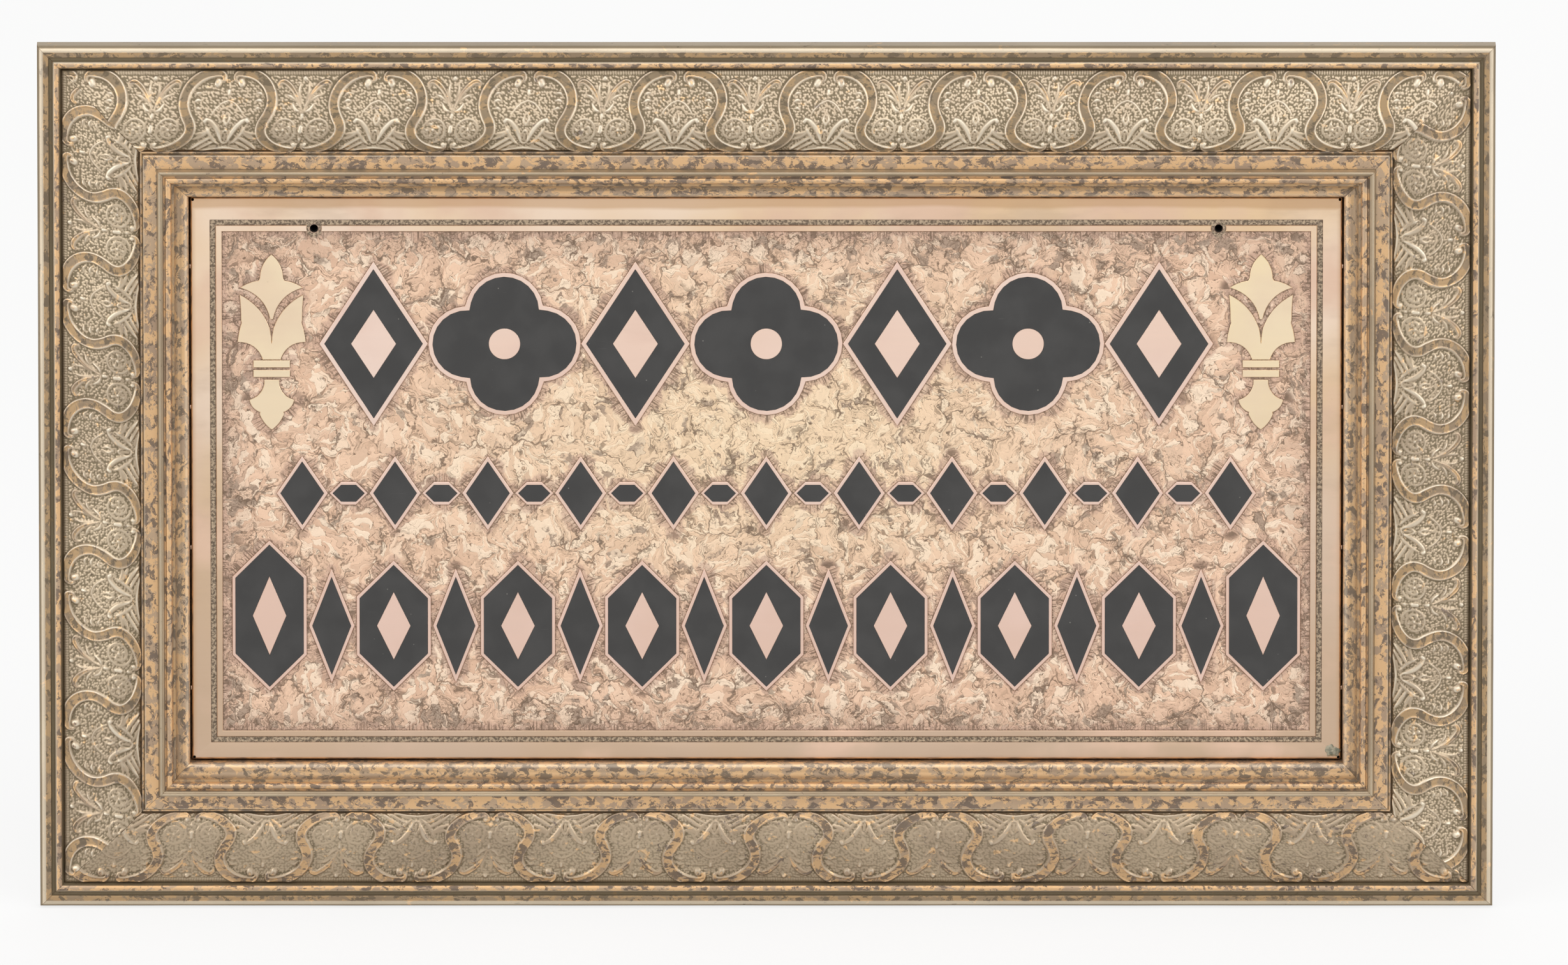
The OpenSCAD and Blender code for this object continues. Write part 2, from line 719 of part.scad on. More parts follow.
// Flat steel button with round ends, its pivot at the origin and its long end along +Y
module turn_button(place) {
    half = button_w / 2;
    color(steel) upright() behind() translate([place.x, place.y, button_gap]) rotate([0, 0, place[2]])
        difference() {
            linear_extrude(height = button_t) {
                translate([0, button_l - button_tail - half]) circle(r = half);
                translate([0, half - button_tail]) circle(r = half);
                translate([-half, half - button_tail]) square([button_w, button_l - button_w]);
            }
            translate([0, 0, -cut]) cylinder(r = screw_r + pivot_clear, h = button_t + 2 * cut);
        }
}

module button_screws() {
    color(steel) upright() behind()
        for (p = button_places) translate([p.x, p.y, 0]) round_screw(button_t + 2 * button_gap);
}

// Strap with a rolled end that carries the ring's straight bar, at the height hinge_lift
module strap(side) {
    color(steel) upright() behind() translate([side * hinge_x, hinge_y, 0]) difference() {
        union() {
            translate([-strap_w / 2, strap_w / 2 - strap_l, 0]) cube([strap_w, strap_l - strap_w / 2 - barrel_r, strap_t]);
            translate([0, strap_w / 2 - strap_l, 0]) cylinder(r = strap_w / 2, h = strap_t);
            translate([0, 0, hinge_lift]) rotate([0, 90, 0]) cylinder(r = barrel_r, h = strap_w, center = true);
            rotate([90, 0, 90]) linear_extrude(height = strap_w, center = true)
                polygon([
                    [-barrel_r - strap_t, 0], [strap_t / 2 - barrel_r, 0], [0, hinge_lift - barrel_r],
                    [0, hinge_lift], [-barrel_r, hinge_lift], [-barrel_r - strap_t, strap_t]
                ]);
        }
        translate([0, 0, hinge_lift]) rotate([0, 90, 0])
            cylinder(r = ring_wire_r + pivot_clear, h = strap_w + 2 * cut, center = true);
        for (step = hanger_screw_steps) translate([0, -step, -cut]) cylinder(r = screw_r, h = strap_t + 2 * cut);
    }
}

// D-shaped ring of round wire, hanging down from its straight bar
module ring(side) {
    bow_r = ring_w / 2 + ring_wire_r;
    color(steel) upright() behind() translate([side * hinge_x, hinge_y, hinge_lift]) {
        rotate([0, 90, 0]) cylinder(r = ring_wire_r, h = 2 * bow_r, center = true);
        for (s = [-1, 1]) {
            translate([s * bow_r, 0, 0]) sphere(r = ring_wire_r);
            translate([s * bow_r, -ring_leg, 0]) rotate([-90, 0, 0]) cylinder(r = ring_wire_r, h = ring_leg);
        }
        translate([0, -ring_leg, 0]) rotate([0, 0, 180]) rotate_extrude(angle = 180)
            translate([bow_r, 0]) circle(r = ring_wire_r);
    }
}

module hanger_screws() {
    color(steel) upright() behind()
        for (sx = [-1, 1])
            for (step = hanger_screw_steps) translate([sx * hinge_x, hinge_y - step, 0]) round_screw(strap_t);
}

module wall_pads() {
    color(rubber) upright() behind()
        for (s = [-1, 1])
            translate([s * (frame_w / 2 - pad_inset.x), pad_inset.y - frame_h / 2, 0]) cylinder(r = pad_r, h = pad_t);
}

rail(2);  // top_rail
rail(0);  // bottom_rail
rail(3);  // left_rail
rail(1);  // right_rail
ornament(2);  // top_ornament
ornament(0);  // bottom_ornament
ornament(3);  // left_ornament
ornament(1);  // right_ornament
corner_wedges();
sign_pan();
upper_enamel();
middle_enamel();
lower_enamel();
corner_solder();
core_board();
flange_tacks();
backing_board();
core_screws();
turn_button(button_places[0]);  // button_top_left
turn_button(button_places[1]);  // button_top_right
turn_button(button_places[2]);  // button_bottom_left
turn_button(button_places[3]);  // button_bottom_right
turn_button(button_places[4]);  // button_left
turn_button(button_places[5]);  // button_right
button_screws();
strap(-1);  // left_strap
strap(1);  // right_strap
ring(-1);  // left_ring
ring(1);  // right_ring
hanger_screws();
wall_pads();
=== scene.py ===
# %% [markdown]
# # A framed notice plate
# This scene dresses the plain CAD model of an old notice plate: an etched copper sheet with dark
# enamel shapes, folded over a board and set in a wide gilt moulding with pressed scrollwork.
# The CAD model gives every size and every moving part. Blender adds the finish: carved relief,
# worn metal leaf, etched copper, enamel, bare wood and zinc hardware.
# Lengths are written in millimetres and turned to metres as a mesh is made.

import math

import bpy
import numpy as np
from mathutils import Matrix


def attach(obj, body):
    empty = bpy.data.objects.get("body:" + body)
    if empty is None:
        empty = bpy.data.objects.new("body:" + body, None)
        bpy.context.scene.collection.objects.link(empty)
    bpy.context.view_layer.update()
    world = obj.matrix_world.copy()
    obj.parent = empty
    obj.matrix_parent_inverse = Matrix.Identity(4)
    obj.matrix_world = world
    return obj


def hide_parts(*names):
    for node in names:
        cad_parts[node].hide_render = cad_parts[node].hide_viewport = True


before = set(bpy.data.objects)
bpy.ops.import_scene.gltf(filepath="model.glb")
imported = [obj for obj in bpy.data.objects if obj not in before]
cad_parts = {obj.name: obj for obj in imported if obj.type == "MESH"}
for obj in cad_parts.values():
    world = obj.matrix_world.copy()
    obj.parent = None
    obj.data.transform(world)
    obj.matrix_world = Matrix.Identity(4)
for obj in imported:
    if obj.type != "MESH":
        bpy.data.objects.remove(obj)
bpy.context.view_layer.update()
MM = 0.001

# %% [markdown]
# ## Sizes
# These repeat the CAD model's values, so that every dressed piece lands on its solid. A rail is
# described by three lengths: x along the rail, u across it from the outer edge, and h, the
# height above the frame's flat back.

# %%
# Sizes of the plate and the frame
PLATE_W, PLATE_H = 609.6, 304.8
SHEET, FLANGE = 1.2, 7.5
MARGIN_SIDE, MARGIN_TOP, MARGIN_BOTTOM = 10.0, 12.0, 9.0
BAND_W, RULE_W = 3.3, 3.2
FACE_H, GROUND_H = 14.2, 13.7
RAIL_W, SIGHT_GAP = 80.0, 1.0
FRAME_W = PLATE_W + 2 * (SIGHT_GAP + RAIL_W)
FRAME_H = PLATE_H + 2 * (SIGHT_GAP + RAIL_W)
FIXING_Y = PLATE_H / 2 - MARGIN_TOP - BAND_W - RULE_W / 2
FIXING_X, FIXING_R, FIXING_RING = 239.4, 2.2, 4.0
FIELD_START, FIELD_END, CROWN_U = 12.8, 54.6, 45.8
FIELD_H, FIELD_RISE, FIELD_SLOPE, CROWN_DROP = 10.8, 14.8, 0.35, 3
ORNAMENT_T = 2.0
FULL_TURN = 6.283
print("frame", FRAME_W, "x", FRAME_H, "mm")

# %% [markdown]
# ## Putting arrays into meshes
# Every new surface is worked out as whole numpy arrays. A shell is a pair: its points, and a
# list of face arrays, one array for each number of corners. A shell whose signed volume comes
# out negative is inside out, so its faces are turned round before they go into the mesh.

# %%
# Mesh helpers
def grid_faces(rows, columns, wrap_rows=False, wrap_columns=False):
    """Quads of a rows by columns grid: point (i, j) has number i * columns + j, and each quad joins
    (i, j), (i, j + 1), (i + 1, j + 1) and (i + 1, j)."""
    i = np.arange(rows if wrap_rows else rows - 1)
    j = np.arange(columns if wrap_columns else columns - 1)
    i, j = np.meshgrid(i, j, indexing="ij")
    i2, j2 = (i + 1) % rows, (j + 1) % columns
    corners = [i * columns + j, i * columns + j2, i2 * columns + j2, i2 * columns + j]
    return np.stack(corners, axis=-1).reshape(-1, 4)


def capped_stack(rings, n):
    """Faces of a stack of rings with n points each: quads between rings, and a cap at either end."""
    caps = np.stack([np.arange(n)[::-1], np.arange(n) + (rings - 1) * n])
    return [grid_faces(rings, n, wrap_columns=True), caps]


def shell_volume(points, faces):
    """Signed volume: each face is fanned into triangles, and each triangle adds a sixth of the
    triple product of its corners."""
    total = 0.0
    for f in faces:
        for k in range(1, f.shape[1] - 1):
            a, b, c = points[f[:, 0]], points[f[:, k]], points[f[:, k + 1]]
            total += np.einsum("ij,ij->", a, np.cross(b, c)) / 6
    return total


def stand_up(x, y, h):
    """Flat plate coordinates to the row frame in metres: x stays, the plate's y becomes z, and
    the height h comes towards the viewer, along -Y."""
    x, y, h = np.broadcast_arrays(np.asarray(x, float), y, h)
    return np.stack([x, -h, y - FIXING_Y], axis=-1).reshape(-1, 3) * MM


def make_piece(name, shells, finishes, body="sign", stands_for=(), layers=None,
               face_finish=None, sharp=30.0):
    """Joins closed shells into one mesh object. Each shell is (points, face arrays) in metres.
    layers maps an attribute's name to one value or vector for each point, and face_finish numbers
    the finish of each face. Caps, which have more than four corners, are drawn flat, and edges that
    turn by more than sharp degrees are drawn sharp."""
    points, loops, sizes, first = [], [], [], 0
    for shell_points, faces in shells:
        turned = shell_volume(shell_points, faces) < 0
        for f in faces:
            f = f[:, ::-1] if turned else f
            loops.append((f + first).ravel())
            sizes.append(np.full(len(f), f.shape[1]))
        points.append(shell_points)
        first += len(shell_points)
    points, loops, sizes = np.concatenate(points), np.concatenate(loops), np.concatenate(sizes)
    mesh = bpy.data.meshes.new(name)
    mesh.vertices.add(len(points))
    mesh.vertices.foreach_set("co", points.astype(np.float32).ravel())
    mesh.loops.add(len(loops))
    mesh.loops.foreach_set("vertex_index", loops.astype(np.int32))
    mesh.polygons.add(len(sizes))
    mesh.polygons.foreach_set("loop_start", np.concatenate([[0], np.cumsum(sizes)[:-1]]).astype(np.int32))
    for layer, values in (layers or {}).items():
        values = np.asarray(values, np.float32)
        kind, key = ("FLOAT", "value") if values.ndim == 1 else ("FLOAT_VECTOR", "vector")
        mesh.attributes.new(layer, kind, "POINT").data.foreach_set(key, values.ravel())
    for finish in finishes:
        mesh.materials.append(finish)
    if face_finish is not None:
        mesh.polygons.foreach_set("material_index", face_finish.astype(np.int32))
    mesh.update(calc_edges=True)
    mesh.polygons.foreach_set("use_smooth", sizes <= 4)
    mesh.set_sharp_from_angle(angle=math.radians(sharp))
    piece = bpy.data.objects.new(name, mesh)
    bpy.context.scene.collection.objects.link(piece)
    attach(piece, body)
    if stands_for:
        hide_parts(*stands_for)
    print(f"{name}: {len(points)} points, {int((sizes - 2).sum())} triangles")
    return piece


print("a grid of 3 by 4 points has", len(grid_faces(3, 4)), "quads")

# %% [markdown]
# ## Nodes and colours
# A finish is a small tree of nodes. One function adds a node with its settings and its links,
# and one turns a colour that was picked from a picture, an sRGB hex value, to the linear light
# values that a shader works with. The others stand for a step of a recipe: where a value lies
# between two limits, a sum, a colour laid over a colour, and the surface that ends every finish.

# %%
# Node helpers
def linear(code):
    """sRGB hex to linear: each channel over 255, then the sRGB curve undone."""
    channels = np.array([int(code[k:k + 2], 16) for k in (1, 3, 5)]) / 255
    lit = np.where(channels <= 0.04045, channels / 12.92, ((channels + 0.055) / 1.055) ** 2.4)
    return (*[float(c) for c in lit], 1.0)


def add_node(tree, kind, inputs=None, **settings):
    """Adds one node: settings are its properties, and inputs maps a socket to a value or to the
    output that feeds it."""
    node = tree.nodes.new("ShaderNode" + kind)
    for key, value in settings.items():
        setattr(node, key, value)
    for socket, value in (inputs or {}).items():
        if isinstance(value, bpy.types.NodeSocket):
            tree.links.new(value, node.inputs[socket])
        else:
            node.inputs[socket].default_value = value
    return node


def new_finish(name):
    """An empty material with its output node; returns the material, its tree and the output."""
    finish = bpy.data.materials.new(name)
    finish.use_nodes = True
    tree = finish.node_tree
    tree.nodes.clear()
    return finish, tree, tree.nodes.new("ShaderNodeOutputMaterial")


def between(tree, value, low, high, to_low=0.0, to_high=1.0):
    """Where a value lies between two limits, eased and held at both ends."""
    return add_node(tree, "MapRange", {"Value": value, "From Min": low, "From Max": high,
                                       "To Min": to_low, "To Max": to_high},
                    interpolation_type="SMOOTHSTEP").outputs["Result"]


def maths(tree, operation, *values):
    """One arithmetic step on values or outputs, in their order."""
    return add_node(tree, "Math", dict(enumerate(values)), operation=operation).outputs[0]


def tinted(tree, base, over, share):
    """The colour over, laid on the colour base by a share from 0 to 1. A colour is a hex code or an
    output."""
    base, over = (linear(c) if isinstance(c, str) else c for c in (base, over))
    return add_node(tree, "Mix", {"Factor": share, "A": base, "B": over}, data_type="RGBA").outputs["Result"]


def coat(tree, output, inputs, height, strength, depth):
    """The last step of a finish: one principled surface, under a bump that is depth mm deep."""
    bump = add_node(tree, "Bump", {"Height": height, "Strength": strength, "Distance": depth * MM})
    shader = add_node(tree, "BsdfPrincipled", {**inputs, "Normal": bump.outputs["Normal"]})
    tree.links.new(shader.outputs[0], output.inputs[0])


print("mid grey #808080 is", round(linear("#808080")[0], 3), "in linear light")

# %% [markdown]
# ## The worn gilding
# The moulding is wood under gesso and burnished metal leaf, toned with a thin umber wash and
# rubbed back on its high parts. To the eye that is champagne gold with coppery patches and
# violet grey blotches where the leaf has broken. Metal leaf is a metal, so it is metallic, with a
# roughness near 0.45; the wash and the bare patches are duller. The pattern follows each rail,
# so it is read from an attribute that measures along and across the rail in millimetres.

# %%
# Gilded finish
def gilded(name, roughness):
    """Olive champagne leaf, with coppery patches and violet grey blotches where mottle is 1, dark
    wash where the wear value is -1, and bright rubbed leaf where it is 1. On the rails that dark
    wash also carries painted shade."""
    finish, tree, output = new_finish(name)
    run = add_node(tree, "Attribute", attribute_name="run").outputs["Vector"]
    wear_and_shade = add_node(tree, "Attribute", attribute_name="wear_and_shade").outputs["Fac"]
    mottle = add_node(tree, "Attribute", attribute_name="mottle").outputs["Fac"]
    along = add_node(tree, "Mapping", {"Vector": run, "Scale": (0.75, 1.0, 1.0)}).outputs["Vector"]
    cloud = add_node(tree, "TexNoise", {"Vector": along, "Scale": 1 / 48, "Detail": 3.0}).outputs["Fac"]
    patch = add_node(tree, "TexNoise", {"Vector": along, "Scale": 1 / 5.6, "Detail": 7.0, "Roughness": 0.66,
                                        "Distortion": 0.35}).outputs["Fac"]
    shifted = add_node(tree, "Mapping", {"Vector": along, "Location": (311.0, 97.0, 12.0)}).outputs["Vector"]
    flake = add_node(tree, "TexNoise", {"Vector": shifted, "Scale": 1 / 4.6, "Detail": 8.0, "Roughness": 0.70,
                                        "Distortion": 0.5}).outputs["Fac"]
    grain = add_node(tree, "TexNoise", {"Vector": run, "Scale": 1 / 0.9, "Detail": 3.0}).outputs["Fac"]
    coppery_from = maths(tree, "MULTIPLY_ADD", mottle, -0.162, 0.650)
    coppery = between(tree, maths(tree, "SUBTRACT", patch, coppery_from), -0.008, 0.016)
    greyed_from = maths(tree, "MULTIPLY_ADD", mottle, -0.118, 0.655)
    greyed = between(tree, maths(tree, "SUBTRACT", flake, greyed_from), -0.006, 0.014)
    slow = between(tree, cloud, 0.35, 0.65)
    olive, tan = tinted(tree, "#A89780", "#B9A88F", slow), tinted(tree, "#A9917A", "#B9A085", slow)
    base = tinted(tree, olive, tan, mottle)
    base = tinted(tree, base, "#DCB587", maths(tree, "MULTIPLY", coppery, 0.88))
    base = tinted(tree, base, "#786A5F", maths(tree, "MULTIPLY", greyed, 0.90))
    hollow = between(tree, wear_and_shade, -0.12, -0.85)
    rubbed = between(tree, wear_and_shade, 0.15, 0.85)
    base = tinted(tree, base, "#66593F", maths(tree, "MULTIPLY", hollow, 0.80))
    base = tinted(tree, base, "#E4D9C4", maths(tree, "MULTIPLY", rubbed, 0.66))
    base = tinted(tree, base, "#75684F", between(tree, grain, 0.60, 0.78, 0.0, 0.25))
    rough = maths(tree, "MULTIPLY_ADD", greyed, 0.12, roughness)
    rough = maths(tree, "MULTIPLY_ADD", hollow, 0.15, rough)
    metal = maths(tree, "MULTIPLY_ADD", hollow, -0.4, 0.80)
    height = maths(tree, "MULTIPLY_ADD", patch, 0.30, maths(tree, "MULTIPLY", grain, 0.25))
    coat(tree, output, {"Base Color": base, "Metallic": metal, "Roughness": rough}, height, 0.35, 0.25)
    return finish


gilded_moulding = gilded("burnished_leaf_on_gesso", 0.50)
gilded_relief = gilded("burnished_leaf_on_pressed_relief", 0.43)
print("gilded finishes made")

# %% [markdown]
# ## Bare wood, board, steel and rubber
# The back of the frame is raw pine with its grain along each rail, the backing is brown
# fibreboard, and the hardware is zinc-plated steel. None of it shows from the front.

# %%
# Bare wood
def bare_wood(name, pale, dark, layer=None):
    """Planed softwood: long soft bands across the grain, with fine pores along it."""
    finish, tree, output = new_finish(name)
    if layer:
        place = add_node(tree, "Attribute", attribute_name=layer).outputs["Vector"]
    else:
        metres = add_node(tree, "TexCoord").outputs["Object"]
        place = add_node(tree, "VectorMath", {0: metres, 1: (1 / MM,) * 3}, operation="MULTIPLY").outputs[0]
    long = add_node(tree, "Mapping", {"Vector": place, "Scale": (0.035, 1.0, 1.0)}).outputs["Vector"]
    bands = add_node(tree, "TexNoise", {"Vector": long, "Scale": 1 / 7, "Detail": 4.0,
                                        "Distortion": 1.2}).outputs["Fac"]
    rings = maths(tree, "PINGPONG", maths(tree, "MULTIPLY", bands, 9.0), 1.0)
    pores = add_node(tree, "TexNoise", {"Vector": long, "Scale": 1 / 0.5, "Detail": 2.0}).outputs["Fac"]
    stain = add_node(tree, "TexNoise", {"Vector": place, "Scale": 1 / 60, "Detail": 4.0}).outputs["Fac"]
    colour = tinted(tree, pale, dark, maths(tree, "MULTIPLY", rings, 0.6))
    colour = tinted(tree, colour, "#6B4A2B", between(tree, pores, 0.55, 0.75, 0.0, 0.35))
    colour = tinted(tree, colour, "#7A5B3C", between(tree, stain, 0.5, 0.75, 0.0, 0.5))
    height = maths(tree, "MULTIPLY_ADD", pores, -0.5, rings)
    coat(tree, output, {"Base Color": colour, "Roughness": 0.72}, height, 0.3, 0.15)
    return finish


pine = bare_wood("planed_pine", "#C9A574", "#A57E4E", "run")
core_pine = bare_wood("core_pine", "#C7A274", "#A07A4E")


def fibre_board():
    """Pressed brown fibreboard: fibres of a millimetre or two in every direction, and damp clouds."""
    finish, tree, output = new_finish("pressed_fibreboard")
    metres = add_node(tree, "TexCoord").outputs["Object"]
    fibres = add_node(tree, "TexNoise", {"Vector": metres, "Scale": 700.0, "Detail": 5.0, "Roughness": 0.7,
                                         "Distortion": 1.5}).outputs["Fac"]
    clouds = add_node(tree, "TexNoise", {"Vector": metres, "Scale": 9.0, "Detail": 5.0}).outputs["Fac"]
    colour = tinted(tree, "#8A6746", "#5E4430", between(tree, fibres, 0.35, 0.7))
    colour = tinted(tree, colour, "#A58663", between(tree, clouds, 0.5, 0.8, 0.0, 0.5))
    coat(tree, output, {"Base Color": colour, "Roughness": 0.85}, fibres, 0.4, 0.2)
    return finish


def zinc_steel():
    """Zinc plate on pressed steel: grey metal with faint spangle and small dull spots."""
    finish, tree, output = new_finish("zinc_plated_steel")
    metres = add_node(tree, "TexCoord").outputs["Object"]
    spangle = add_node(tree, "TexVoronoi", {"Vector": metres, "Scale": 420.0}).outputs["Color"]
    grey = add_node(tree, "SeparateColor", {0: spangle}).outputs[0]
    dull = add_node(tree, "TexNoise", {"Vector": metres, "Scale": 260.0, "Detail": 5.0}).outputs["Fac"]
    colour = tinted(tree, "#B4B6B5", "#9A9D9F", grey)
    colour = tinted(tree, colour, "#7D7A72", between(tree, dull, 0.55, 0.75, 0.0, 0.6))
    rough = between(tree, dull, 0.35, 0.75, 0.30, 0.55)
    coat(tree, output, {"Base Color": colour, "Metallic": 1.0, "Roughness": rough}, dull, 0.15, 0.1)
    return finish


def black_rubber():
    """Moulded rubber: near black, matt, with a fine moulded grain and a little dust."""
    finish, tree, output = new_finish("moulded_rubber")
    metres = add_node(tree, "TexCoord").outputs["Object"]
    grain = add_node(tree, "TexNoise", {"Vector": metres, "Scale": 1800.0, "Detail": 3.0}).outputs["Fac"]
    dust = add_node(tree, "TexNoise", {"Vector": metres, "Scale": 150.0, "Detail": 5.0}).outputs["Fac"]
    colour = tinted(tree, "#232323", "#3A3836", between(tree, dust, 0.45, 0.75))
    coat(tree, output, {"Base Color": colour, "Roughness": 0.8}, grain, 0.2, 0.1)
    return finish


board, steel, rubber = fibre_board(), zinc_steel(), black_rubber()
print("back finishes made")

# %% [markdown]
# ## The moulding's section
# A moulding is one outline carried along a straight path and cut to a mitre at both ends. The
# outline below is the CAD section with finer curves: a rounded outer edge, a groove, a bead, the
# hollow field that carries the ornament, a flat band, a sharp ridge, a second bead, a cove and
# the rounded sight edge next to the plate.

# %%
# Section curves
def arc(centre, radii, start, end, steps):
    """Points of an ellipse's arc: the centre plus the radii times the cosine and sine of even
    angles, in degrees."""
    t = np.radians(np.linspace(start, end, steps + 1))
    return np.stack([centre[0] + radii[0] * np.cos(t), centre[1] + radii[1] * np.sin(t)], axis=1)


def field_curve(u):
    """Height of the ornamented field over u: a cubic from its outer edge up to the crown, then a
    quarter ellipse down the crown's inner side."""
    s = np.clip((u - FIELD_START) / (CROWN_U - FIELD_START), 0, 1)
    climb = FIELD_H + FIELD_RISE * (3 * s ** 2 - 2 * s ** 3)
    rise = climb + FIELD_SLOPE * (CROWN_U - FIELD_START) * (s ** 3 - 2 * s ** 2 + s)
    over = np.clip((u - CROWN_U) / (FIELD_END - CROWN_U), 0, 1)
    valley = FIELD_H + FIELD_RISE - CROWN_DROP
    return np.where(u > CROWN_U, valley + CROWN_DROP * np.sqrt(1 - over ** 2), rise)


def field_stations(up, down):
    """Values of u over the field: even steps up to the crown, then steps of a quarter sine wave,
    which grow shorter where the curve turns down."""
    fall = np.sin(np.linspace(0, np.pi / 2, down))[1:]
    return np.concatenate([np.linspace(FIELD_START, CROWN_U, up), CROWN_U + (FIELD_END - CROWN_U) * fall])


def densify(points, step):
    """Adds points on every side that is longer than the step, at even shares of the side."""
    out = []
    for a, b in zip(points[:-1], points[1:]):
        n = max(1, int(np.ceil(np.linalg.norm(b - a) / step)))
        out.append(a + (b - a) * (np.arange(n) / n)[:, None])
    return np.concatenate(out + [points[-1:]])


field_u = field_stations(60, 16)
bed = np.stack([field_u, field_curve(field_u) - ORNAMENT_T], axis=1)
# (u, h) in mm, from the back's outer corner over the face to the rabbet, then back under the rail
front = np.concatenate([
    [[0.0, 0.0], [0.0, 0.4]],
    arc((3.5, 8.5), (3.5, 3.5), 180, 90, 12),
    [[5.6, 12.0], [6.0, 11.8], [6.4, 10.4], [7.8, 10.4]],
    arc((10.1, 11.2), (1.9, 1.9), 180, 0, 18),
    bed,
    [[54.6, 22.6], [55.8, 22.6], [56.2, 24.9], [56.5, 25.2]],
    [[63.5, 25.35], [63.8, 26.6], [64.1, 29.1]],
    arc((64.9, 29.2), (0.8, 0.8), 180, 0, 10),
    [[66.5, 28.4], [67.0, 27.2]],
    arc((69.2, 27.0), (1.7, 1.7), 170, 10, 16),
    [[71.3, 25.8], [72.1, 25.8]],
    arc((77.0, 25.8), (4.5, 5.3), 180, 270, 16),
    arc((77.0, 17.5), (3.0, 3.0), 90, 0, 12),
    [[80.0, 5.0]],
])
apart = np.linalg.norm(np.diff(front, axis=0), axis=1) > 1e-6
front = densify(front[np.concatenate([[True], apart])], 0.5)
back = densify(np.array([[80.0, 5.0], [72.0, 5.0], [72.0, 0.0], [0.0, 0.0]]), 6.0)[1:-1]
section = np.concatenate([front, back])
print("section:", len(front), "front points,", len(back), "back points")

# %% [markdown]
# ## Where the gilding wears
# Leaf is rubbed off what stands out, and the toning wash stays in what lies low. Both follow
# from one number: how far a point stands proud of a smoothed copy of its own surface.

# %%
# Wear from shape
def blurred(values, sigma, axis=0):
    """Gaussian average along one axis, with the ends held."""
    reach = int(np.ceil(3 * sigma))
    weights = np.exp(-0.5 * (np.arange(-reach, reach + 1) / sigma) ** 2)
    weights /= weights.sum()
    margins = [(reach, reach) if k == axis else (0, 0) for k in range(values.ndim)]
    padded = np.pad(values, margins, mode="edge")
    n = values.shape[axis]
    return sum(w * np.take(padded, np.arange(k, k + n), axis=axis) for k, w in enumerate(weights))


def line_normals(points):
    """Unit normals of an open line, to the left of its way: the tangent turned by a quarter."""
    tangent = np.gradient(points, axis=0)
    tangent /= np.linalg.norm(tangent, axis=1, keepdims=True) + 1e-12
    return np.stack([-tangent[:, 1], tangent[:, 0]], axis=1)


def line_lengths(points):
    """Length along a line up to each of its points."""
    return np.concatenate([[0], np.cumsum(np.linalg.norm(np.diff(points, axis=0), axis=1))])


# Step of an evenly spaced copy of the section, and the height that wears it fully, in mm
EVEN_STEP, PROUD_FULL = 0.3, 0.28
front_length = line_lengths(front)
even_length = np.arange(0, front_length[-1], EVEN_STEP)
even = np.stack([np.interp(even_length, front_length, front[:, k]) for k in (0, 1)], axis=1)
proud = ((even - blurred(even, 4.0)) * line_normals(even)).sum(axis=1)
front_wear_and_shade = np.interp(front_length, even_length, np.clip(proud / PROUD_FULL, -1, 1))
in_field = (front[:, 0] > FIELD_START + 0.1) & (front[:, 0] < FIELD_END - 0.1)
front_wear_and_shade[in_field] = -0.6
front_wear_and_shade = np.where(front_wear_and_shade > 0, 0.55 * front_wear_and_shade, front_wear_and_shade)
# What the photograph shows, from u to u: how worn, and how much of the mottling is left. The
# cove's dark value, in the last zone, is painted shade.
ZONES = [(0.0, 1.1, -0.60, 0.1), (1.1, 3.2, 0.55, 0.1), (3.2, 6.1, -0.55, 1.0), (6.1, 8.25, -0.75, 0.1),
         (8.25, 9.1, 0.50, 0.1), (9.1, 11.7, -0.05, 1.0), (11.7, FIELD_START, -0.90, 0.3),
         (56.6, 63.2, 0.08, 1.0), (63.6, 66.9, -0.28, 0.0), (66.9, 71.2, -0.15, 1.0),
         (71.2, 76.0, -0.45, 1.0)]
front_mottle = np.ones(len(front))
for start, end, zone_wear_and_shade, zone_mottle in ZONES:
    inside = (front[:, 0] >= start) & (front[:, 0] < end)
    front_wear_and_shade[inside], front_mottle[inside] = zone_wear_and_shade, zone_mottle
print("wear from", round(front_wear_and_shade.min(), 2), "to", round(front_wear_and_shade.max(), 2))

# %% [markdown]
# ## The four rails
# Each rail runs the section from mitre to mitre: the point at u lies at a share of the half
# length less u, so that both ends fall exactly on the 45 degree planes. A hair of a gap is left
# in each mitre, and the surface wanders by a few hundredths of a millimetre, as gesso does.

# %%
# Rails
SIDES = {0: ("bottom", FRAME_W), 1: ("right", FRAME_H), 2: ("top", FRAME_W), 3: ("left", FRAME_H)}
MITRE_GAP = 0.09
# Shifts that give each rail its own part of every pattern, in mm
RUN_SHIFT, DEPTH_SHIFT = 900.0, 37.0


def on_side(side, x, u, h):
    """Rail coordinates to the row frame: (x, u - half the frame) turned by quarter turns, then
    stood up. Side 0 is the bottom, 1 the right, 2 the top and 3 the left."""
    v = u - (FRAME_H if side % 2 == 0 else FRAME_W) / 2
    flat_x, flat_y = [(x, v), (-v, x), (-x, -v), (v, -x)][side]
    return stand_up(flat_x, flat_y, h)


def ripples(x, t, side, sizes):
    """A sum of slow sine waves along and across the rail, each with its own turn and phase."""
    waves = np.random.default_rng(40 + side)
    total = 0.0
    for size in sizes:
        a, b, p = waves.uniform(0.7, 1.4), waves.uniform(0.5, 1.5), waves.uniform(0, 6.28, 2)
        along = np.sin(FULL_TURN * a * x / size + p[0])
        total = total + along * np.sin(FULL_TURN * b * t / size * 2.5 + p[1])
    return total / len(sizes)


def run_layer(x, span, side):
    """Where each point lies along and across its rail, in mm, with one shift for each side."""
    layer = np.stack([x + RUN_SHIFT * side, span, np.full(x.shape, DEPTH_SHIFT * side)], axis=-1)
    return layer.reshape(-1, 3)


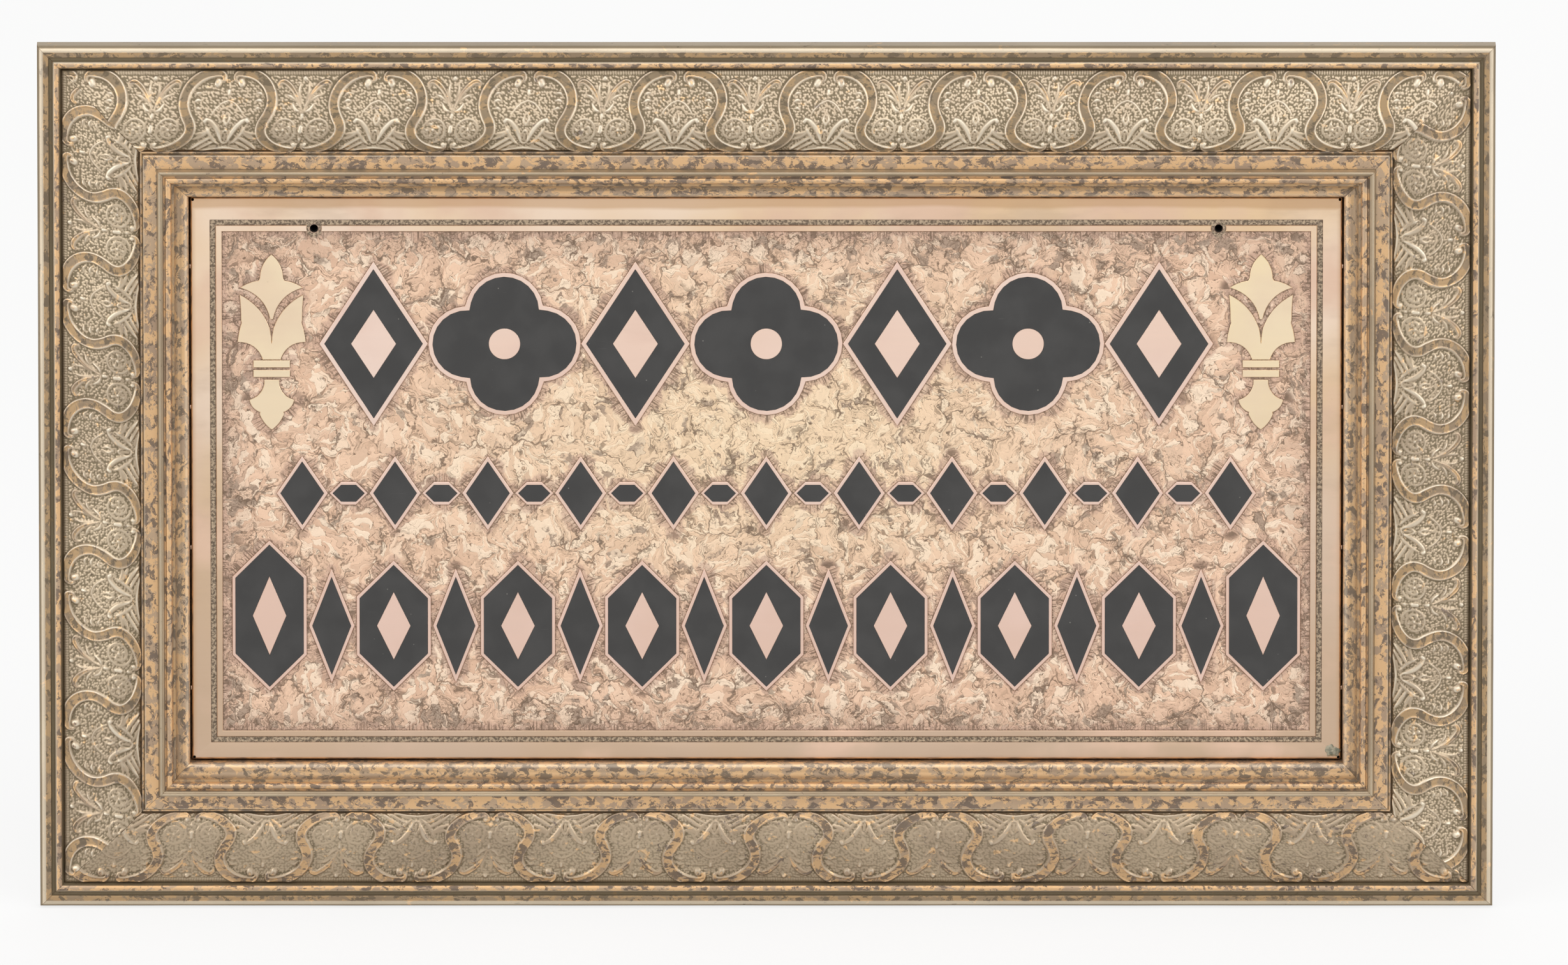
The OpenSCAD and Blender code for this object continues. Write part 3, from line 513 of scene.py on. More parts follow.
def rail_mesh(side):
    """The closed section as a ring at every step of the rail, with flat caps in the mitre planes.
    The face is gilded, and the back, the rabbet and the caps are bare pine."""
    name, length = SIDES[side]
    share = np.linspace(-1, 1, int(length / 4) + 1)
    n_front = len(front)
    normal = np.concatenate([line_normals(front), np.zeros((len(back), 2))])
    span = np.concatenate([front_length, front_length[-1] + 8 + np.arange(len(back)) * 6.0])
    half = length / 2 - MITRE_GAP - section[:, 0]
    x = share[:, None] * half[None, :]
    t = np.broadcast_to(span, x.shape)
    wander = 0.05 * ripples(x, t, side, (160.0, 70.0, 31.0))
    wander[:, n_front - 1:] = 0
    wander[:, :2] = 0
    u = section[:, 0] + wander * normal[:, 0]
    h = section[:, 1] + wander * normal[:, 1]
    points = on_side(side, share[:, None] * (length / 2 - MITRE_GAP - u), u, h)
    rows, columns = x.shape
    walls, caps = capped_stack(rows, columns)
    station = walls[:, 0] % columns
    bare = (station >= n_front - 1) | (station == columns - 1)
    face_finish = np.concatenate([bare.astype(int), [1, 1]])
    wear_and_shade, mottle = (np.broadcast_to(np.append(values, np.zeros(len(back))), x.shape).ravel()
                    for values in (front_wear_and_shade, front_mottle))
    make_piece(name + "_moulding", [(points, [walls, caps])], [gilded_moulding, pine],
               stands_for=[name + "_rail"], face_finish=face_finish,
               layers={"run": run_layer(x, t, side), "wear_and_shade": wear_and_shade, "mottle": mottle})


for side in SIDES:
    rail_mesh(side)

# %% [markdown]
# ## The pressed scrollwork, as a drawing
# The ornament was pressed in composition paste: one pattern of scrolled straps, leaves and
# spirals that repeats every 79 mm. It could be sculpted or drawn as an image, but an image is
# not allowed and a sculpture is not repeatable, so it is worked out as a height over the plane.
# Each stroke is a smooth line with a half width that tapers, and a cross section: a round ridge,
# or a ribbon with raised rims. A point takes the highest stroke that covers it. x is measured
# from the middle of the pattern, u from the rail's outer edge.

# %%
# Strokes of the pattern
PERIOD = 79.3
HALF = PERIOD / 2
SLANT = 0.105
# Each stroke: kind, height in mm, points (x, u), half widths at even shares of its length
STROKES = [
    # the broad strap: from its upper volute, down the side, and out to its lower hook
    ("ribbon", 1.9, [(4.6, 19.0), (3.0, 17.6), (3.2, 15.6), (5.2, 14.5), (8.5, 14.4), (12.2, 14.9),
                     (16.4, 16.8), (20.3, 20.3), (22.8, 25.1), (23.2, 30.1), (21.4, 35.1), (19.2, 39.1),
                     (18.7, 43.1), (20.6, 47.1), (25.0, 50.7), (30.2, 52.6), (34.6, 53.1), (37.4, 52.2),
                     (38.2, 50.3)],
     (0.7, 1.3, 1.9, 2.4, 2.8, 3.0, 3.0, 3.0, 3.0, 3.0, 2.9, 2.6, 2.1, 1.4, 0.8)),
    # the ball in the upper volute, and the small ball in the lower hook
    ("round", 2.1, [(6.0, 18.5), (6.4, 19.3)], (2.2, 2.1)),
    ("round", 1.6, [(36.6, 50.4), (36.7, 50.6)], (1.3, 1.3)),
    # leaf on the outside of the strap's waist
    ("round", 0.9, [(17.6, 44.0), (14.6, 44.5), (11.4, 43.8), (9.0, 42.0)], (0.4, 1.1, 1.0, 0.3)),
    ("round", 1.0, [(17.0, 47.5), (13.0, 46.0), (9.6, 43.6), (8.4, 40.8)], (0.6, 1.4, 1.1, 0.3)),
    # tall leaves inside the strap, with curled tips
    ("round", 1.25, [(1.8, 48.6), (3.0, 45.0), (5.0, 41.2), (8.0, 38.0), (10.8, 36.6)],
     (0.6, 1.4, 1.6, 1.5, 1.1)),
    ("round", 1.6, [(10.9, 37.2), (11.3, 37.7)], (1.3, 1.2)),
    ("round", 1.0, [(2.6, 50.6), (6.0, 47.6), (8.8, 43.8), (10.4, 40.4)], (0.4, 1.1, 1.1, 0.4)),
    # acanthus ribs that spread from the foot
    ("round", 1.1, [(5.6, 45.6), (9.6, 47.6), (14.0, 50.6), (17.6, 53.6)], (0.4, 1.2, 1.3, 0.5)),
    ("round", 1.1, [(4.6, 48.4), (8.6, 50.2), (12.4, 52.6), (14.4, 54.2)], (0.4, 1.2, 1.1, 0.4)),
    ("round", 0.9, [(3.6, 51.0), (6.8, 52.0), (9.6, 53.6)], (0.4, 1.0, 0.4)),
    # the pointed hood over the leaves
    ("round", 0.9, [(8.4, 34.6), (6.6, 31.8), (3.6, 28.9), (0.0, 27.4)], (0.4, 0.6, 0.6, 0.6)),
    ("round", 0.6, [(5.2, 34.4), (3.8, 32.2), (0.0, 30.2)], (0.4, 0.5, 0.5)),
    ("round", 0.8, [(0.0, 39.6), (1.4, 36.8), (0.4, 33.2)], (0.7, 0.8, 0.3)),
    # small leaves beside the strap's shoulder
    ("round", 0.9, [(18.6, 28.6), (16.4, 27.2), (14.4, 27.6)], (0.4, 1.0, 0.5)),
    ("round", 0.9, [(18.4, 25.6), (16.8, 23.9), (14.6, 23.9)], (0.4, 0.9, 0.5)),
    ("round", 0.8, [(17.6, 31.6), (15.8, 31.0), (14.4, 31.9)], (0.4, 0.8, 0.5)),
    # low arch at the foot, and the drop between the volutes
    ("round", 1.2, [(0.0, 52.3), (5.0, 52.7), (9.5, 53.5), (13.0, 54.3)], (0.9, 0.9, 0.8, 0.5)),
    ("round", 1.3, [(0.0, 22.8), (0.0, 24.2)], (1.2, 0.9)),
    ("round", 0.7, [(0.0, 25.2), (0.0, 26.4)], (0.6, 0.4)),
    # leaves that open like a V between two straps
    ("ribbon", 1.15, [(HALF - 0.4, 32.4), (HALF - 1.9, 28.6), (HALF - 4.0, 24.6), (HALF - 7.2, 20.8),
                      (HALF - 10.8, 18.5), (HALF - 13.4, 19.2), (HALF - 13.4, 21.6)],
     (0.5, 0.9, 1.3, 1.55, 1.6, 1.3, 0.7)),
    ("round", 0.9, [(HALF - 3.6, 28.0), (HALF - 6.4, 25.6), (HALF - 9.4, 24.6)], (0.4, 1.0, 0.4)),
    ("round", 0.9, [(HALF - 1.0, 33.0), (HALF - 3.6, 31.8), (HALF - 5.6, 29.0)], (0.5, 1.1, 0.6)),
    ("round", 0.8, [(HALF - 1.2, 27.4), (HALF - 2.6, 22.6), (HALF - 2.2, 18.8)], (0.4, 0.9, 0.4)),
    ("round", 1.1, [(HALF - 0.1, 34.4), (HALF - 0.1, 36.6)], (1.0, 0.5)),
    # pearl and bead on the line between two straps
    ("round", 1.5, [(HALF - 0.05, 16.6), (HALF - 0.05, 16.8)], (1.3, 1.3)),
    ("round", 1.4, [(HALF - 0.05, 40.6), (HALF - 0.05, 43.2)], (1.2, 1.3)),
    ("round", 0.9, [(HALF - 0.05, 47.4), (HALF - 0.05, 49.4)], (0.8, 0.4)),
]
# Middle of the scroll beside the pearl line
SCROLL_X, SCROLL_U = HALF - 9.3, 42.3


def spiral_points():
    """The scroll: its radius falls evenly over one and a third turns."""
    turn = np.linspace(0, 2 * np.pi * 1.35, 50)
    radius = np.interp(turn, [0, turn[-1]], [7.2, 3.6])
    around = np.radians(100) - turn
    return list(zip(SCROLL_X + radius * np.cos(around), SCROLL_U + radius * np.sin(around)))


def egg_points():
    """A closed drop: a circle that is drawn out towards its upper end."""
    a = np.linspace(0, 2 * np.pi, 40)
    return list(zip(1.9 * np.sin(a) * (1 + 0.25 * np.cos(a)), 46.0 + 3.6 * np.cos(a)))


def petal_points(angle):
    """A short line out from the scroll's middle, which turns by half a radian on its way."""
    ends = ((0.9, angle), (3.3, angle + 0.5))
    return [(SCROLL_X + r * math.cos(a), SCROLL_U + r * math.sin(a)) for r, a in ends]


petals = [("round", 0.75, petal_points(a), (0.35, 0.8)) for a in np.radians([10, 80, 150, 225, 300])]
STROKES += [("round", 0.72, spiral_points(), (0.75, 0.7, 0.62, 0.6, 0.75)), *petals,
            ("round", 0.9, [(SCROLL_X, SCROLL_U - 0.1), (SCROLL_X + 0.1, SCROLL_U + 0.1)], (0.8, 0.8)),
            ("round", 1.1, egg_points(), (0.65, 0.65)),
            ("round", 0.7, [(0.0, 44.6), (0.0, 47.6)], (0.8, 0.9))]
print(len(STROKES), "strokes, each drawn on both sides of the middle")

# %% [markdown]
# ## From strokes to a height map
# The map of one repeat is made once, at five points to the millimetre. Smooth lines come from
# Catmull-Rom curves through the drawn points. The ground between the strokes is pebbled with
# rounded grains, and a band of fine upright ticks runs along the outer edge.

# %%
# Height map of one repeat
MAP_STEP = 0.2
map_x = np.arange(-HALF, HALF, MAP_STEP)
map_u = np.arange(FIELD_START - 0.4, FIELD_END + 0.4, MAP_STEP)


def smooth_line(points, count):
    """Catmull-Rom curve: between two points, the cubic whose slopes are half the way from the
    point before to the point after."""
    p = np.asarray(points, float)
    p = np.concatenate([2 * p[:1] - p[1:2], p, 2 * p[-1:] - p[-2:-1]])
    t = np.linspace(0, len(p) - 3 - 1e-9, count)
    k = t.astype(int)
    f = (t - k)[:, None]
    a, b, c, d = p[k], p[k + 1], p[k + 2], p[k + 3]
    bend = (2 * a - 5 * b + 4 * c - d) * f ** 2
    return 0.5 * (2 * b + (c - a) * f + bend + (3 * b - a - 3 * c + d) * f ** 3)


def stroke_height(kind, height, line, half_widths, x, u):
    """Height of one stroke over the points (x, u), and a mask of its channel: the distance to the
    nearest part of the line, over the half width there, goes into the cross section. A round ridge
    is a half ellipse. A ribbon is a low roll between two raised rims, and only it has a channel."""
    best = np.full(x.shape, 1e9)
    width = np.ones(x.shape)
    across = np.interp(np.linspace(0, 1, len(line)), np.linspace(0, 1, len(half_widths)), half_widths)
    for a, b, w0, w1 in zip(line[:-1], line[1:], across[:-1], across[1:]):
        d = b - a
        t = np.clip(((x - a[0]) * d[0] + (u - a[1]) * d[1]) / max(d @ d, 1e-9), 0, 1)
        gap = np.hypot(x - a[0] - t * d[0], u - a[1] - t * d[1]) / (w0 + (w1 - w0) * t)
        nearer = gap < best
        best = np.where(nearer, gap, best)
        width = np.where(nearer, w0 + (w1 - w0) * t, width)
    if kind == "round":
        scale = np.clip(width / 0.8, 0.55, 1.0)
        ridge = height * scale * np.sqrt(np.clip(1 - best ** 2, 0, 1))
        return np.where(best < 1, ridge, 0), np.zeros(x.shape)
    rim_at = 1 - 0.62 / np.maximum(width, 0.9)
    rim = np.exp(-((best - rim_at) * width / 0.52) ** 2)
    roll = np.clip(1 - (best / np.maximum(rim_at, 0.2)) ** 2, 0, 1)
    inside = np.clip((1.12 - best) * width / 0.42, 0, 1)
    top = height * (0.50 + 0.26 * np.sqrt(roll) + 0.46 * rim)
    channel = np.clip((rim_at - best) * width / 0.45, 0, 1) * (best < 1)
    return np.where(best < 1.2, top * inside * np.clip(width / 1.4, 0.6, 1.0), 0), channel


def pattern_heights():
    """The repeat's relief and a mask of its straps' channels, both over (x, u)."""
    x, u = np.meshgrid(map_x, map_u, indexing="ij")
    relief, straps = np.zeros(x.shape), np.zeros(x.shape)
    for kind, height, points, half_widths in STROKES:
        count = min(80, max(3, len(points) * 5))
        line = np.asarray(points, float) if len(points) > 30 else smooth_line(points, count)
        reach = max(half_widths) * 1.3 + 0.3
        for flip in (1, -1):
            for hop in (-PERIOD, 0, PERIOD):
                drawn = line * (flip, 1) + (hop, 0)
                low, high = drawn.min(axis=0) - reach, drawn.max(axis=0) + reach
                i = slice(*np.searchsorted(map_x, [low[0], high[0]]))
                j = slice(*np.searchsorted(map_u, [low[1], high[1]]))
                if i.start >= i.stop or j.start >= j.stop:
                    continue
                add, channel = stroke_height(kind, height, drawn, half_widths, x[i, j], u[i, j])
                if kind == "ribbon":
                    relief[i, j] = np.where(add > 0.15, np.maximum(add, 0.5 * relief[i, j]), relief[i, j])
                    straps[i, j] = np.maximum(straps[i, j], channel)
                else:
                    relief[i, j] = np.maximum(relief[i, j], add)
    return relief, straps


pattern_relief, pattern_straps = pattern_heights()
print("pattern map", pattern_relief.shape, "highest", round(pattern_relief.max(), 2), "mm")

# %% [markdown]
# ## The pebbled ground
# Grains are cells: each grid square holds one grain at a random place, and a point's height
# comes from its distance to the nearest grain.

# %%
# Grains and the finished relief
grain_table = np.random.default_rng(11).random((64, 64, 3))


def grains(x, u, pitch):
    """Rounded grains: for the nine grid squares round a point, one minus the squared distance to
    the square's grain over its radius, the largest taken."""
    gx, gu = x / pitch, u / pitch
    cx, cu = np.floor(gx).astype(int), np.floor(gu).astype(int)
    best = np.zeros(x.shape)
    for di in (-1, 0, 1):
        for dj in (-1, 0, 1):
            seed = grain_table[(cx + di) % 64, (cu + dj) % 64]
            px = cx + di + 0.1 + 0.8 * seed[..., 0]
            pu = cu + dj + 0.1 + 0.8 * seed[..., 1]
            size = 0.42 + 0.16 * seed[..., 2]
            best = np.maximum(best, 1 - ((gx - px) ** 2 + (gu - pu) ** 2) / size ** 2)
    return best


def sample_map(values, x, u):
    """Bilinear look-up in the repeat's map, which wraps along x."""
    fx = ((x + HALF) % PERIOD) / MAP_STEP
    fu = np.clip((u - map_u[0]) / MAP_STEP, 0, len(map_u) - 1.001)
    i, j = np.floor(fx).astype(int), np.floor(fu).astype(int)
    a, b = fx - i, fu - j
    i0, i1 = i % len(map_x), (i + 1) % len(map_x)
    return (values[i0, j] * (1 - a) * (1 - b) + values[i1, j] * a * (1 - b)
            + values[i0, j + 1] * (1 - a) * b + values[i1, j + 1] * a * b)


# Where a pattern's middle falls on each rail, in mm along the rail
PHASE = {0: -30.5, 1: 49.9, 2: 45.5, 3: -19.7}
# Pitch and height of the grains and of the ticks, and the u at which the ticks end, in mm
GRAIN_PITCH, GRAIN_H = 1.4, 0.32
TICK_PITCH, TICK_H, TICK_END = 1.35, 0.34, 15.4


def relief_at(side, x, u):
    """Relief of the ornament over rail coordinates: the repeat's map, slanted as the real pressing
    is, with grains where the strokes leave the ground bare, and ticks along the outer edge. With it
    come the straps' channels, the share of bare ground and the ground's own height."""
    px = x - PHASE[side] - SLANT * (u - 16)
    carved = sample_map(pattern_relief, px, u)
    straps = sample_map(pattern_straps, px, u)
    bare = np.clip(1 - carved / 0.35, 0, 1)
    pebble = GRAIN_H * grains(x + 13.0 * side, u, GRAIN_PITCH)
    ticks = TICK_H * (0.5 + 0.5 * np.cos(2 * np.pi * x / TICK_PITCH)) * np.clip((TICK_END - u) / 0.8, 0, 1)
    ground = np.where(u < TICK_END, np.maximum(ticks, 0.3 * pebble), pebble)
    soft = 1 - 0.10 * (0.5 + 0.5 * ripples(x, u, side + 9, (55.0, 23.0)))
    fade = np.clip((u - FIELD_START) / 0.7, 0, 1) * np.clip((FIELD_END - u) / 0.5, 0, 1)
    return (0.85 * carved * soft + bare * ground) * fade, straps, bare, ground / GRAIN_H


print("grains reach", round(float(grains(*np.meshgrid(map_x, map_u), GRAIN_PITCH).max()), 2))

# %% [markdown]
# ## Four strips of ornament
# Each strip is a fine grid over the field: rows go across the rail by arc length, columns go
# along it. A point is pushed out along the field's normal by its relief. The strip is closed
# underneath by a coarse bed, and the long ones are made in two halves, as the real ones are
# pressed in lengths, which also keeps each mesh to a sensible number of triangles.

# %%
# Ornament strips
# Step of the grid, and depth of the bare ground below the field's line, in mm
GRID, GROUND_DROP = 0.46, 1.05
BED_ROWS = 6
# How strong the wash and the rubbing are on the bottom, right, top and left rail. The bottom
# rail's low contrast is painted shade, as its field faces down, away from the lamps.
WEAR_AND_LIGHT_BY_SIDE = (0.5, 0.8, 0.95, 0.8)
fine_u = field_stations(400, 120)
fine_line = np.stack([fine_u, field_curve(fine_u)], axis=1)
fine_length = line_lengths(fine_line)
row_length = np.linspace(0, fine_length[-1], int(fine_length[-1] / GRID) + 1)
row_u = np.interp(row_length, fine_length, fine_u)
row_line = np.stack([row_u, np.interp(row_length, fine_length, fine_line[:, 1])], axis=1)
row_normal = line_normals(row_line)
under_u = row_u[::-1][np.linspace(0, len(row_u) - 1, BED_ROWS).astype(int)]
under_line = np.stack([under_u, field_curve(under_u) - ORNAMENT_T + 0.02], axis=1)


def with_bed(rows, bed):
    """The values of all rows on top, then those of the bed below, at every column."""
    return np.concatenate([rows, np.broadcast_to(bed, (len(rows), BED_ROWS))], axis=1)


def ornament_wear_and_shade(side, relief, straps, bare, bumps):
    """What stands above the relief's own blur is rubbed, and what lies below it keeps wash. Bare
    ground is rubbed on its grains, and darker where much carving stands round it, as wash and
    painted shade together. The channels of straps and the tops of knobs keep wash and mottling.
    The contrast of all of it is lower on the bottom rail, as painted shade."""
    near = blurred(blurred(relief, 2.6, 0), 2.6, 1)
    wide = blurred(blurred(relief, 5.0, 0), 5.0, 1)
    # Wash and painted shade on the ground where much carving stands round it.
    wash_and_shade = WEAR_AND_LIGHT_BY_SIDE[side] * np.clip((wide - 0.38) / 0.45, 0, 1)
    knob = np.clip((relief - 1.56) / 0.12, 0, 1)
    pebbled = np.clip(2.3 * bumps - 1.35, -1.0, 0.5) * WEAR_AND_LIGHT_BY_SIDE[side] - 1.2 * wash_and_shade
    wear_and_shade = np.where(bare > 0.5, pebbled, np.clip((relief - near) / 0.42, -1, 1))
    wear_and_shade = np.where(wear_and_shade > 0, WEAR_AND_LIGHT_BY_SIDE[side], 1.0) * wear_and_shade
    wear_and_shade = (wear_and_shade - 0.7 * knob) * (1 - straps) - 0.7 * WEAR_AND_LIGHT_BY_SIDE[side] * straps
    mottle = np.maximum(0.10 + 0.78 * straps, 0.8 * knob) + (1 - WEAR_AND_LIGHT_BY_SIDE[side]) * np.clip(relief, 0, 0.7)
    return wear_and_shade, mottle


def ornament_strip(side, part, share_from, share_to):
    """One length of ornament: a closed ring of rows (relief on top, bed below) at every column,
    with a flat cap at each end."""
    name, length = SIDES[side]
    mean = length - FIELD_START - FIELD_END
    columns = int(mean * (share_to - share_from) / 2 / GRID) + 1
    share = np.linspace(share_from, share_to, columns)[:, None]
    half = length / 2 - MITRE_GAP
    x = share * (half - row_u)
    u = np.broadcast_to(row_u, x.shape)
    relief, straps, bare, bumps = relief_at(side, x, u)
    lift = relief - GROUND_DROP
    ring_u = with_bed(u + lift * row_normal[:, 0], under_line[:, 0])
    ring_h = with_bed(row_line[:, 1] + lift * row_normal[:, 1], under_line[:, 1])
    points = on_side(side, share * (half - ring_u), ring_u, ring_h)
    wear_and_shade, mottle = ornament_wear_and_shade(side, relief, straps, bare, bumps)
    across = with_bed(np.broadcast_to(row_length + 14.0, x.shape), 0.0)
    layers = {"run": run_layer(with_bed(x, 0.0), across, side), "wear_and_shade": with_bed(wear_and_shade, 0.0).ravel(),
              "mottle": with_bed(mottle, 0.0).ravel()}
    shells = [(points, capped_stack(*ring_u.shape))]
    make_piece(f"{name}_ornament_strip{part}", shells, [gilded_relief], stands_for=[name + "_ornament"],
               sharp=70.0, layers=layers)


for side in (0, 2):
    ornament_strip(side, "_first", -1, 0)
    ornament_strip(side, "_second", 0, 1)
for side in (1, 3):
    ornament_strip(side, "", -1, 1)

# %% [markdown]
# ## Copper, etched and polished
# The plate is copper sheet under clear lacquer. What the acid left standing is smooth and pale,
# nearly cream, with faint brushing along the sheet. Round the enamel the edge is a rosier pink.
# Copper is a metal, so its colour is its reflection, and the roughness is near 0.35.

# %%
# Polished copper
def polished_copper(name, pale, warm, rosy, dull):
    """Slow clouds of warmer colour, fine brushing along the sheet, small stains, a duller tone
    towards the bottom that is a painted change of reflection, and a browner strip along its edges,
    strongest at the top, that is a painted reflection of the moulding's sight edge."""
    finish, tree, output = new_finish(name)
    metres = add_node(tree, "TexCoord").outputs["Object"]
    clouds = add_node(tree, "TexNoise", {"Vector": metres, "Scale": 7.0, "Detail": 3.0}).outputs["Fac"]
    long = add_node(tree, "Mapping", {"Vector": metres, "Scale": (18.0, 900.0, 900.0)}).outputs["Vector"]
    brushed = add_node(tree, "TexNoise", {"Vector": long, "Scale": 1.0, "Detail": 3.0}).outputs["Fac"]
    specks = add_node(tree, "TexNoise", {"Vector": metres, "Scale": 330.0, "Detail": 5.0,
                                         "Roughness": 0.7}).outputs["Fac"]
    blush = add_node(tree, "TexNoise", {"Vector": metres, "Scale": 17.0, "Detail": 4.0}).outputs["Fac"]
    smear = add_node(tree, "Mapping", {"Vector": metres, "Scale": (11.0, 11.0, 34.0)}).outputs["Vector"]
    streak = add_node(tree, "TexNoise", {"Vector": smear, "Scale": 1.0, "Detail": 5.0,
                                         "Roughness": 0.6}).outputs["Fac"]
    place = add_node(tree, "SeparateXYZ", {0: metres}).outputs
    high = place["Z"]
    top_gap = maths(tree, "MULTIPLY_ADD", high, -1 / MM, PLATE_H / 2 - FIXING_Y)
    wavy = maths(tree, "MULTIPLY_ADD", blush, 5.0, -2.5)
    painted_top_reflection = between(tree, maths(tree, "ADD", top_gap, wavy), 7.0, 4.5, 0.0, 0.62)
    side_gap = maths(tree, "MULTIPLY_ADD", maths(tree, "ABSOLUTE", place["X"]), -1 / MM, PLATE_W / 2)
    painted_side_reflection = between(tree, side_gap, 3.5, 0.5, 0.0, 0.45)
    colour = tinted(tree, pale, warm, between(tree, clouds, 0.38, 0.60))
    # Duller towards the bottom: a painted change of reflection down the plate.
    colour = tinted(tree, colour, dull, between(tree, high, 0.0, -0.27, 0.0, 0.85))
    colour = tinted(tree, colour, rosy, between(tree, blush, 0.46, 0.66, 0.0, 0.85))
    colour = tinted(tree, colour, dull, between(tree, streak, 0.50, 0.72, 0.0, 0.45))
    # Painted reflection of the moulding's sight edge: a browner strip along the top and side edges.
    colour = tinted(tree, colour, "#C79F76", maths(tree, "MAXIMUM", painted_top_reflection, painted_side_reflection))
    colour = tinted(tree, colour, "#A98F6E", between(tree, specks, 0.66, 0.80, 0.0, 0.35))
    rough = between(tree, brushed, 0.3, 0.7, 0.30, 0.40)
    height = maths(tree, "MULTIPLY_ADD", specks, -0.4, brushed)
    coat(tree, output, {"Base Color": colour, "Metallic": 1.0, "Roughness": rough}, height, 0.08, 0.05)
    return finish


margin_copper = polished_copper("lacquered_copper", "#F3DCC6", "#E9CAA4", "#E4C2AA", "#C4A991")
edge_copper = polished_copper("rosy_copper_edge", "#F2DACC", "#EFD2C0", "#E8C9BA", "#DFBEAD")
leaf_copper = polished_copper("pale_lacquered_copper", "#F3DFBF", "#F5E0B8", "#EBD3B6", "#DEC7A8")
print("polished copper finishes made")

# %% [markdown]
# ## The etched ground
# The ground was etched through a resist that had torn into ferns and shells, like chipped glass:
# shells of pale shards with dark edges, stippled shade, and short blades that stand at right
# angles to every raised edge. Cells give the shells. Within one, the angle round a point beside
# it and the distance from that point are the two sides of a second, smaller set of cells, so
# its cells come out as shards that spread like a fan. For the short blades, each point of the
# mesh knows the nearest spot on a raised edge, and noise that is read there is the same all the
# way out from the edge, which draws a blade.

# %%
# Etched ground finish
# Size of one shell, and width of one shard in it, in mm
SHELL, SHARD = 19.0, 2.5


